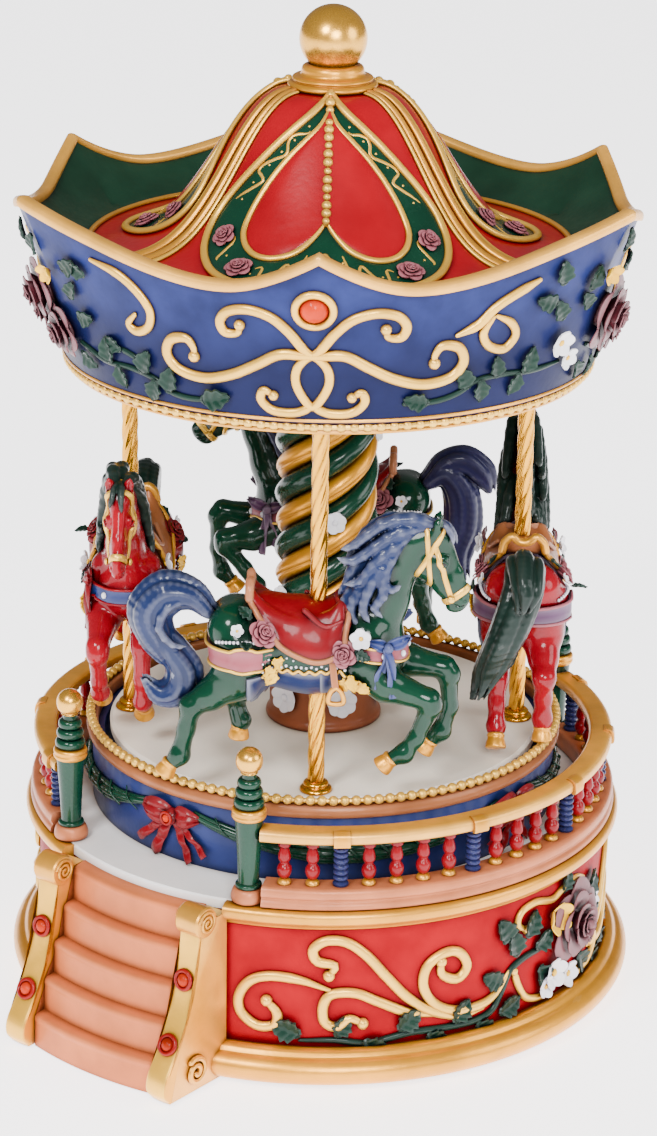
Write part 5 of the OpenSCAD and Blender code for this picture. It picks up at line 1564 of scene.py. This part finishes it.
def sculpt_hair(body, pose_b, step):
    """A mane, forelock and tail, cut back where the body and the pole are."""
    c = Clay((-56, -13.5, 12), (46, 13.5, 91), step)
    up = 3.6 if pose_b else 0.0
    lean = 1.0 if pose_b else 0.0
    locks = [
        ([(31, -1.2, 79.6), (25, -2.4, 81.4), (17, -3.4, 80), (10, -4.2, 74.4), (6.0, -4.6, 73.0)], 2.3),
        ([(28, -1.8, 79), (22, -3.8, 78.2), (15.5, -4.8, 74), (9.5, -5.2, 70.0), (5.0, -5.4, 70.8)], 2.3),
        ([(25, -2.4, 77.4), (20, -4.8, 74.0), (15.0, -5.8, 69), (11.6, -6.0, 64.5), (7.0, -6.0, 63.4)], 2.2),
        ([(23, -3, 76), (19.4, -5.4, 70.5), (17.4, -6.3, 65.2), (20, -6.6, 62.4), (22.8, -6.2, 63.8)], 1.9),
        ([(21, -2.8, 74), (16.6, -5.6, 68), (13.4, -6.6, 61.5), (12.4, -7.2, 56.5), (14.4, -7.8, 53.0)], 2.2),
        ([(20.6, -3.4, 73), (18, -5.8, 66), (17.6, -6.6, 60.5), (15.4, -7.4, 57.4), (17.8, -7.6, 54.6)], 1.9),
        ([(18.6, -2.2, 70), (13.4, -4.6, 64), (9.8, -5.6, 59), (9.2, -6.4, 55), (11.6, -7.4, 51.6)], 2.2),
        ([(16.5, -1.4, 66), (10.8, -3.2, 62.5), (7.6, -4.4, 58.2), (8.6, -5.6, 54.6), (6.4, -6.6, 53)], 2),
        ([(27, 0.2, 80.2), (19, -0.6, 80.6), (12.8, -1.4, 76.6), (9.2, -2.0, 71), (6.8, -2.6, 67.4)], 2.4),
        ([(22, 0, 77.4), (14.4, -0.8, 73.6), (10.0, -1.4, 68), (8.0, -2.2, 62.6), (5.4, -2.6, 59.0)], 2.5),
        ([(18, 0.2, 71), (11.8, -0.2, 67), (8.6, -0.6, 61.6), (8.4, -1.2, 57.6), (7.6, -2, 56.0)], 2.6),
        ([(31, 1.4, 79.4), (25, 3.0, 79.6), (19, 4.2, 75), (14.5, 5.0, 69.5), (10.5, 5.4, 68.2)], 2.2),
        ([(26, 2.2, 77.6), (20.5, 4.6, 72), (16.4, 5.8, 66), (14.4, 6.2, 60), (11.0, 6.2, 57.4)], 2.2),
        ([(21.5, 2.6, 73.5), (16.6, 5.0, 66), (12.6, 6.0, 60.5), (11.2, 6.8, 55.6), (13.6, 7.6, 52.4)], 2.2),
        ([(17.5, 1.8, 68), (12, 3.6, 63), (8.8, 4.8, 58), (8.6, 5.8, 54.4), (10.8, 7.0, 51.8)], 2.1),
        ([(31, 0, 80), (34.0, -1.2, 79.2), (36.0, -1.8, 76.8), (36.6, -2.4, 74.4)], 1.15),
        ([(31, 0.4, 80), (34.6, 0.8, 79.0), (36.6, 0.8, 76.4), (37.6, 1.2, 73.4)], 1.15),
    ]
    for path, r in locks:
        p = np.array(path, float)
        share = np.clip((p[:, 2] - 50) / 30, 0, 1)
        p[:, 2] += up * share
        p[:, 0] += lean * share
        add_lock(c, p, r)
    if pose_b:
        tail_strands(c, [((-29, 0, 53.5), 0.55), ((-34, 0, 59.4), 0.9), ((-40, 0, 61), 1.1),
                         ((-45.6, 0, 57), 1.0), ((-49, -0.5, 50.5), 0.4)], 2.9, 3.6, 4, 1.7)
        tail_strands(c, [((-29, 0, 54), 0.6), ((-34.6, 0, 57), 0.9), ((-39.6, 0, 51), 1.15),
                         ((-40.4, 0, 41), 1.25), ((-38.4, 0, 31), 1.1), ((-41.6, 0, 22), 0.45)],
                     3.1, 4.0, 5, 1.7)
    else:
        tail_strands(c, [((-29.5, 0, 52.5), 0.5), ((-34.5, 0, 57.4), 0.85), ((-41.5, 0, 58.0), 1.2),
                         ((-46.2, 0, 52.4), 1.25), ((-44.2, 0, 45), 1.05), ((-40.6, 0, 38.4), 0.85)],
                     3.3, 3.6, 5, 1.7)
        tail_strands(c, [((-44.4, 0, 47), 0.6), ((-40.6, 0, 41.6), 0.95), ((-37.0, 0, 35.4), 1.15),
                         ((-38.2, 0, 29.4), 1.1), ((-43.6, 0, 27.8), 0.8), ((-48.6, -0.6, 33.4), 0.3)],
                     2.9, 3.4, 5, 1.6)
        curl = [(-35, -3.6, 57), (-41, -5.0, 55), (-43.4, -5.4, 49), (-39.6, -5.0, 44), (-36, -4.4, 43.6)]
        add_lock(c, curl, 1.5)
    c.f = np.maximum(c.f, -(np.minimum(body_field(body, c), 20) + 0.9)).astype(np.float32)
    gx, gy = np.meshgrid(c.low[0] + c.step * np.arange(c.dims[0]),
                         c.low[1] + c.step * np.arange(c.dims[1]), indexing="ij")
    c.f = np.maximum(c.f, (POLE_R + 0.3 - np.hypot(gx, gy))[..., None]).astype(np.float32)
    return c


def body_field(body, c):
    """The horse's field sampled on another clay's grid."""
    out = np.full(c.dims, 20.0, np.float32)
    shift = np.round((c.low - body.low) / c.step).astype(int)
    a = np.maximum(0, -shift)
    b = np.minimum(c.dims, body.dims - shift)
    dst = tuple(slice(a[k], b[k]) for k in range(3))
    src = tuple(slice(a[k] + shift[k], b[k] + shift[k]) for k in range(3))
    out[dst] = body.f[src]
    return out


def ribbon(shape, line, width, thick, mat, up, wave=0.0):
    """A flat ribbon along a line; up is its face's direction."""
    n = 24
    p = spline(line, n)
    t = unit(np.gradient(p, axis=0))
    side = unit(np.cross(t, np.broadcast_to(up, p.shape)))
    face = np.cross(side, t)
    v = np.linspace(-1, 1, 7)[None, :, None]
    s = np.linspace(0, 1, n)[:, None, None]
    pts = p[:, None] + side[:, None] * v * width / 2 + face[:, None] * (wave * np.sin(v * 4 + s * 9))
    shape.shell(pts, thick, mat)


def barrel_patch(c, x0, x1, a0, a1, off, nx=24, na=40, edge=None):
    """Points on the horse's barrel between x0 and x1, from angle a0 to a1 about its axis."""
    u, v = np.linspace(0, 1, nx)[:, None], np.linspace(0, 1, na)[None]
    ang = np.radians(a0 + (a1 - a0) * v)
    x = x0 + (x1 - x0) * u + 0 * v
    if edge is not None:
        ang = np.radians(edge(u, v))
    ang = ang + 0 * x
    origin = np.stack([x, 0 * x, 44 + 0 * x], -1)
    d = np.stack([0 * x, np.sin(ang), np.cos(ang)], -1)
    return c.cast(origin, d, off)


def make_tack(c, look):
    """Saddle, cloth, straps and ribbons for one horse."""
    s = Shape()

    def hem(u, v):
        """Angles down to the cloth's scalloped hem."""
        reach = 112 + 5 * np.cos(u * np.pi * 8) ** 2
        return -reach + 2 * reach * v
    s.shell(barrel_patch(c, -15, 8.5, 0, 0, 0.95, 44, 60, hem), 0.8, look["cloth"])
    rows = barrel_patch(c, -15, 8.5, 0, 0, 1.2, 44, 60, hem)
    for edge in (rows[:, 0], rows[:, -1]):
        s.tube(even(edge, 60), 0.5, look["trim"], sides=8)
    for col, size in ((2, 0.42), (5, 0.3)):
        for line in (rows[:, col], rows[:, -1 - col]):
            for p in even(line, 18 if col == 2 else 14):
                s.ball(p, size, "white", n=8)
    ahead = np.linspace(-12.5, -20, 9)
    turn = np.radians(np.linspace(90, 270, 33)[1:-1])
    x = np.concatenate([ahead, np.full(31, -20.0), ahead[::-1]])
    dx = np.concatenate([0 * ahead, np.cos(turn), 0 * ahead])
    dy = np.concatenate([0 * ahead + 1, np.sin(turn), 0 * ahead - 1])
    rows = [c.cast(np.stack([x, 0 * x, 43 + dz + 0 * x], -1), np.stack([dx, dy, 0 * dx], -1), 0.95)
            for dz in (-2.7, -1.4, 0, 1.4, 2.7)]
    rows = np.array(rows).transpose(1, 0, 2)
    s.shell(rows, 0.8, look["strap"])
    for k in (0, -1):
        s.tube(rows[:, k], 0.5, look["trim"], sides=8)
    for a in (-72, 72):
        for p in even(barrel_patch(c, -27, -14, a, a + 0.1, 0.3, 24, 2)[:, 0], 14):
            s.ball(p, 0.5, "white", n=8)
    girth = barrel_patch(c, 1.0, 4.6, 96, 264, 0.75, 6, 36)
    s.shell(girth, 0.7, look["sash"])
    sash = barrel_patch(c, -19, 7, 118, 242, 0.7, 30, 30)
    s.shell(sash, 0.7, look["sash"])
    # breast band
    a = np.linspace(-112, 112, 34)
    rows = []
    for dz in (-1.9, -1, 0, 1, 1.9):
        lift = 3.0 * (np.abs(a) / 112) ** 2
        o = np.stack([12 + 0 * a, 0 * a, 43.4 + dz + lift], -1)
        d = np.stack([np.cos(np.radians(a)), np.sin(np.radians(a)), 0 * a], -1)
        rows.append(c.cast(o, d, 0.95, 11.6))
    rows = np.array(rows).transpose(1, 0, 2)
    s.shell(rows, 0.8, look["breast"])
    for k in (0, -1):
        s.tube(rows[:, k], 0.42, look["trim"], sides=8)
    for k in range(3, 32, 5):
        s.ball(rows[k, 2], 0.85, "white", n=8, scale=(1, 1, 1.2))

    # saddle
    x = np.linspace(-18.6, 9.4, 46)
    top = spline([(-18.6, 63.2), (-16.8, 60.0), (-13.2, 57.2), (-8, 55.3), (-2, 54.9), (3, 56.2),
                  (6.2, 58.8), (8.2, 57.8), (9.4, 54.6)], 200)
    low = spline([(-18.6, 58.6), (-16.6, 53.6), (-13.4, 49.6), (-9, 46.2), (-4, 43.8), (0, 42.8),
                  (4, 43.6), (7.8, 46.4), (9.4, 51)], 200)
    zt, zl = np.interp(x, *even(top, 200).T), np.interp(x, *even(low, 200).T)
    wide = np.interp(x, (-18.6, -15, -9, 4, 9.4), (4.4, 6.6, 8.0, 7.4, 5.2))
    rows = []
    for k in range(len(x)):
        side_y = wide[k] + 3.0 * np.clip((zt[k] - zl[k]) / 13, 0, 1)
        half = spline([(0, zt[k] - 2.2), (wide[k] * 0.4, zt[k] - 1.7), (wide[k] * 0.78, zt[k] - 0.3),
                       (wide[k] + 0.6, zt[k] - 1.4), (side_y + 0.2, (zt[k] * 0.5 + zl[k] * 0.5)),
                       (side_y + 0.7, zl[k])], 21)
        line = np.vstack([half[::-1] * (-1, 1), half[1:]])
        rows.append(np.stack([np.full(len(line), x[k]), line[:, 0], line[:, 1]], -1))
    rows = np.array(rows)
    inner = c.value(rows) < 2.0
    rows = np.where(inner[..., None], c.settle(rows, 2.15, 4), rows)
    s.shell(rows, 1.1, look["seat"], look["seat"])
    for line in (rows[:, 0], rows[:, -1]):
        s.tube(even(line, 60), 0.85, look["seat_edge"], sides=10, flat=0.9)
    s.tube(even(rows[0], 40), 1.25, look["seat_edge"], sides=10)
    s.tube(even(rows[-1], 40), 0.8, look["seat_edge"], sides=10)
    for side in (-1, 1):
        fold = [(-3.5, side * 7.2, 56), (2, side * 9.4, 52.4), (6.6, side * 8.6, 53.6)]
        s.tube(spline(fold, 20), 0.75, look["seat"], sides=8)
        stirrup = [(4.4, side * 10.6, 43), (5.0, side * 11.0, 38), (5.4, side * 10.6, 34.6)]
        ribbon(s, stirrup, 1.8, 0.6, look["seat_edge"], (0, side, 0))
        loop = spline([(3.6, side * 10.2, 30.4), (7.4, side * 10.2, 30.4), (7.0, side * 10.5, 33.6),
                       (5.5, side * 10.7, 34.9), (4.0, side * 10.5, 33.6)], 30, True)
        s.tube(loop, 0.75, "gold", sides=8, closed=True)
    return s


def make_bridle(c, pose, s, mat):
    """Noseband, browband, throat strap and the cheek straps with their rings."""
    head = np.array([p for p, _ in pose["head"]], float)
    down = unit(head[3] - head[1])
    ahead = np.array([-down[2], 0, down[0]])
    if ahead[0] < 0:
        ahead = -ahead

    def loop(centre, axis):
        """A closed line round the head in the plane square to the axis."""
        n = 36
        e1 = unit(np.cross(axis, (0, 1, 0)))
        a = np.linspace(0, 2 * np.pi, n, endpoint=False)
        d = np.cos(a)[:, None] * e1 + np.sin(a)[:, None] * np.array([0, 1, 0])
        return c.cast(np.tile(centre, (n, 1)), d, 0.35, 9.0)

    def strap(line, width, closed=True):
        """A bowed band with turned-in edges along a line on the skin."""
        t = unit(np.roll(line, -1, 0) - np.roll(line, 1, 0)) if closed else unit(np.gradient(line, axis=0))
        face = c.slope(line)
        side = unit(np.cross(t, face))
        v = np.array([-1, -0.6, 0, 0.6, 1])[None, :, None] * width / 2
        bow = np.array([0, 0.2, 0.28, 0.2, 0])[None, :, None]
        pts = line[:, None] + side[:, None] * v + face[:, None] * bow
        s.grid(pts, mat, close_u=closed)
        under = line[:, None] + side[:, None] * v * 1.02 - face[:, None] * 0.6
        s.grid(np.concatenate([pts[:, :1], under[:, :1]], 1), mat, close_u=closed)
        s.grid(np.concatenate([pts[:, -1:], under[:, -1:]], 1), mat, close_u=closed)

    nose_c = head[2] * 0.35 + head[3] * 0.65
    strap(loop(nose_c, down), 1.9)
    brow_c = head[1] * 0.2 + head[0] * 0.8
    strap(loop(brow_c, unit(down * 0.9 + ahead * 0.45)), 1.5)
    throat_c = head[1] * 0.55 + head[0] * 0.45
    strap(loop(throat_c + (-1.0, 0, 0), unit(down * 0.5 + ahead * 0.9)), 1.3)
    for side in (-1, 1):
        a = brow_c + np.array([0.4, side * 3.5, 0])
        b = nose_c + np.array([-0.6, side * 2.6, 0])
        mid = np.linspace(0, 1, 14)[:, None] * (b - a) + a
        strap(c.settle(mid, 0.35), 1.4, False)
        s.ball(b + (0, side * 0.7, -0.2), 1.05, mat, n=12, scale=(1, 0.6, 1))


def make_flowers(c, look, s):
    """Roses, blossoms, leaves and bows on both sides of a horse."""
    rose = make_rose(3.9, 3.0, look["rose"], 11)
    blossom = make_blossom(3.1, "white", "yellow", cup=0.5)
    leaf = make_leaf(5.0, 3.4, "yellow", teeth=3)
    green_leaf = make_leaf(4.6, 3.0, "leaf_green", teeth=3)
    for side in (-1, 1):
        def spot(x, z, off, side=side):
            p = c.cast(np.array([[x, 0, z]]), np.array([[0.0, side, 0.0]]), off)[0]
            n = c.slope(p[None])[0]
            right = unit(np.cross((0, 0, 1), n))
            return np.stack([right, np.cross(n, right), n], -1), p

        def spin(place, deg, size=1.0):
            axes, p = place
            cos, sin = math.cos(math.radians(deg)), math.sin(math.radians(deg))
            r, u, n = axes.T
            return np.stack([r * cos + u * sin, u * cos - r * sin, n], -1) * size, p
        s.place(rose, spin(spot(-15.2, 49.6, 1.2), 20))
        s.place(rose, spin(spot(7.4, 44.8, 1.6), 70, 0.92))
        s.place(blossom, spin(spot(12.4, 49.6, 0.8), 10))
        s.place(blossom, spin(spot(-21.5, 50.6, 0.6), 50, 0.62))
        for x, z, deg in ((-14, 41.6, -70), (-11.8, 40.0, -110), (-12.6, 43.0, -30), (10.0, 39.4, -80),
                          (11.4, 38.0, -50), (8.8, 38.2, -115)):
            s.place(leaf, spin(spot(x, z, 0.9), deg))
        for x, z, deg in ((-18.6, 53, 120), (-19.6, 47, 190), (11.2, 45.6, -20)):
            s.place(green_leaf, spin(spot(x, z, 1.2), deg))
        axes, p = spot(18.2, 46.4, 0.7)
        r, u, n = axes.T
        fwd = np.array([1.0, 0, 0])
        for lean, length, wide in ((0.55, 7.0, 3.6), (-0.3, 6.2, 3.4)):
            a = np.linspace(0, 1, 16)[:, None]
            v = np.linspace(-1, 1, 7)[None]
            half = wide / 2 * np.sin(np.pi * np.clip(a * 0.94 + 0.05, 0, 1) ** 0.8)
            d = unit(fwd * math.copysign(1, lean) + np.array([0, 0, abs(lean)]))
            w = unit(np.cross(n, d))
            pts = p + n * 0.9 + d * (a * length)[..., None] + w * (half * v)[..., None] \
                + n * (1.5 * np.sin(np.pi * a) * (1 - 0.4 * v**2) + 0.25 * np.cos(v * 6))[..., None]
            s.shell(pts, 0.7, look["ribbon"])
        for dx, dz in ((1.6, -14.5), (-2.6, -12)):
            line = [p + n * 0.9, p + n * 1.6 + (dx * 0.2, 0, dz * 0.3),
                    p + n * 0.9 + (dx * 0.8, 0, dz * 0.65), p + n * 1.3 + (dx, 0, dz)]
            ribbon(s, line, 2.6, 0.6, look["ribbon"], n, wave=0.25)
        s.ball(p + n * 1.5, 1.5, look["ribbon"], n=12)


LOOKS = {
    "front": dict(coat="horse_green", hair="hair_blue", hoof="gold", seat="bow_red", seat_edge="tan",
                  cloth="green", trim="pale_gold", strap="rose_pink", sash="hair_blue", breast="rose_pink",
                  rose="rose_pink", ribbon="ribbon_blue", bridle="pale_gold", swing=0),
    "left": dict(coat="horse_red", hair="hair_black", hoof="gold", seat="tan", seat_edge="gold",
                 cloth="bow_red", trim="red", strap="bow_red", sash="hair_blue", breast="ribbon_blue",
                 rose="bow_red", ribbon="bow_red", bridle="pale_gold", swing=0),
    "right": dict(coat="horse_red", hair="hair_black", hoof="gold", seat="tan", seat_edge="gold",
                  cloth="ribbon_mauve", trim="rose_pink", strap="ribbon_mauve", sash="hair_blue",
                  breast="ribbon_mauve", rose="rose_pink", ribbon="mauve", bridle="pale_gold", swing=11),
    "back": dict(coat="horse_green", hair="hair_purple", hoof="gold", seat="bow_red", seat_edge="tan",
                 cloth="green", trim="pale_gold", strap="rose_pink", sash="ribbon_mauve",
                 breast="rose_pink", rose="rose_pink", ribbon="ribbon_mauve", bridle="pale_gold", swing=0),
}


def make_horses():
    """Four horses from two poses, with their hair and tack."""
    step = 0.5
    hair_all, tack_all = Shape(), Shape()
    clay = {False: sculpt_horse(A_POSE, step), True: sculpt_horse(B_POSE, step)}
    parts = {}
    for lifted, body in clay.items():
        pose = B_POSE if lifted else A_POSE
        parts[lifted] = body.mesh(), sculpt_hair(body, lifted, step).mesh(), pose
        body.f = body.uncut
    ring = (("front", False), ("right", True), ("back", True), ("left", False))
    for q, (name, lifted) in enumerate(ring):
        look = LOOKS[name]
        axes, origin = frame_at(CAROUSEL_AZ + 90 * q, POLE_C, DISC_Z)
        axes = axes * np.array([1, -1, 1])
        frame_q = (axes, origin)
        (verts, quads), (hair_v, hair_q), pose = parts[lifted]
        body = clay[lifted]
        s = Shape()
        s.add(verts, quads, look["coat"])
        ex, ez = pose["eye"]
        for side in (-1, 1):
            p = body.cast(np.array([[ex, 0, ez]]), np.array([[0.1, side, 0.0]]), -0.35)[0]
            s.ball(p, 0.95, "eye", n=14, scale=(1.1, 0.7, 1.0))
            for dz, r in ((0.75, 0.3), (-0.75, 0.22)):
                lid = [p + (-1.2, side * 0.1, 0), p + (0, side * 0.5, dz), p + (1.2, side * 0.1, -0.1)]
                s.tube(spline(lid, 12), r, look["coat"], sides=8)
        for p, d in pose["hooves"]:
            d = unit(np.array([d[0], 0, d[1]]))
            side = np.array([0, 1.0, 0])
            third = np.cross(d, side)
            prof = [(0.3, -1.3), (2.35, -1.2), (2.6, -0.5), (2.35, 0.2), (2.75, 1.4), (3.05, 2.9), (2.8, 3.3),
                    (0.3, 3.4)]
            hoof = Shape()
            hoof.lathe(fillet(prof, 0.3, 2), look["hoof"], n=28)
            s.place(hoof, (np.stack([side, third, d], -1), np.array(p, float)))
        placed = Shape()
        placed.place(s, frame_q)
        placed.build("horse_figure_" + name, "carousel", "horse_" + name,
                     "green_resin" if name in ("front", "back") else "red_resin", sharp=50, fix=False)
        hair = Shape()
        drop = np.clip((56 - hair_v[:, 2]) / 30, 0, 1.2) ** 1.1 * np.clip((-31 - hair_v[:, 0]) / 6, 0, 1)
        swung = hair_v + drop[:, None] * (0, look["swing"], 0)
        hair.add(swung, hair_q, look["hair"])
        hair_all.place(hair, frame_q)
        tack = make_tack(body, look)
        make_bridle(body, pose, tack, look["bridle"])
        make_flowers(body, look, tack)
        tack_all.place(tack, frame_q)
    hair_all.build("manes_and_tails", "carousel", "manes_tails", "blue_resin", sharp=0, fix=False)
    tack_all.build("saddles_and_tack", "carousel", "saddles", "red_resin", sharp=55)


make_horses()

# ---- stage ----


def soft_lamp(name, where, size, power, target=(0, 0, 0.14)):
    """A round studio lamp turned towards the target."""
    lamp = bpy.data.lights.new(name, "AREA")
    lamp.shape, lamp.size, lamp.energy = "DISK", size, power
    obj = bpy.data.objects.new(name, lamp)
    bpy.context.scene.collection.objects.link(obj)
    obj.location = where
    obj.rotation_euler = (Vector(target) - Vector(where)).to_track_quat("-Z", "Y").to_euler()


def make_stage():
    """The pale floor, the lamps and the camera."""
    floor_mat = bpy.data.materials.new("floor_white")
    floor_mat.use_nodes = True
    tree = floor_mat.node_tree
    bsdf = tree.nodes["Principled BSDF"]
    coord, noise = tree.nodes.new("ShaderNodeTexCoord"), tree.nodes.new("ShaderNodeTexNoise")
    tone = tree.nodes.new("ShaderNodeMix")
    tone.data_type = "RGBA"
    noise.inputs["Scale"].default_value = 2.5
    tone.inputs[6].default_value = (0.93, 0.92, 0.94, 1)
    tone.inputs[7].default_value = (0.97, 0.96, 0.97, 1)
    link(tree, coord.outputs["Object"], noise.inputs["Vector"])
    link(tree, noise.outputs["Fac"], tone.inputs[0])
    link(tree, tone.outputs[2], bsdf.inputs["Base Color"])
    bsdf.inputs["Roughness"].default_value = 0.5
    bsdf.inputs["Emission Color"].default_value = (1, 0.985, 1, 1)
    bsdf.inputs["Emission Strength"].default_value = 3.0
    me = bpy.data.meshes.new("floor")
    me.from_pydata([(-6, -6, 0), (6, -6, 0), (6, 6, 0), (-6, 6, 0)], [], [(0, 1, 2, 3)])
    me.materials.append(floor_mat)
    floor = bpy.data.objects.new("floor", me)
    bpy.context.scene.collection.objects.link(floor)

    world = bpy.data.worlds.new("studio")
    bpy.context.scene.world = world
    world.use_nodes = True
    sky = world.node_tree.nodes["Background"]
    sky.inputs[0].default_value = (1, 1, 1, 1)
    sky.inputs[1].default_value = 0.25
    soft_lamp("key", (-0.6, -1.0, 1.1), 0.45, 19)
    soft_lamp("front", (0.2, -1.35, 0.8), 0.6, 22, (0, 0, 0.12))
    soft_lamp("side", (1.1, -0.4, 0.6), 0.7, 8)

    cam = bpy.data.cameras.new("camera")
    cam.sensor_fit, cam.sensor_width = "HORIZONTAL", 36
    cam.lens = 36 * 4.936
    cam.shift_x, cam.shift_y = 0.0025, -0.1415
    cam.clip_start, cam.clip_end = 0.05, 20
    obj = bpy.data.objects.new("camera", cam)
    bpy.context.scene.collection.objects.link(obj)
    place = Vector((0, -0.89035, 0.4436))
    obj.location = place
    look = (Vector((0, 0, 0.15)) - place).to_track_quat("-Z", "Y")
    roll = Matrix.Rotation(math.radians(0.866), 3, "Z").to_quaternion()
    obj.rotation_mode = "QUATERNION"
    obj.rotation_quaternion = look @ roll
    bpy.context.scene.camera = obj


make_stage()
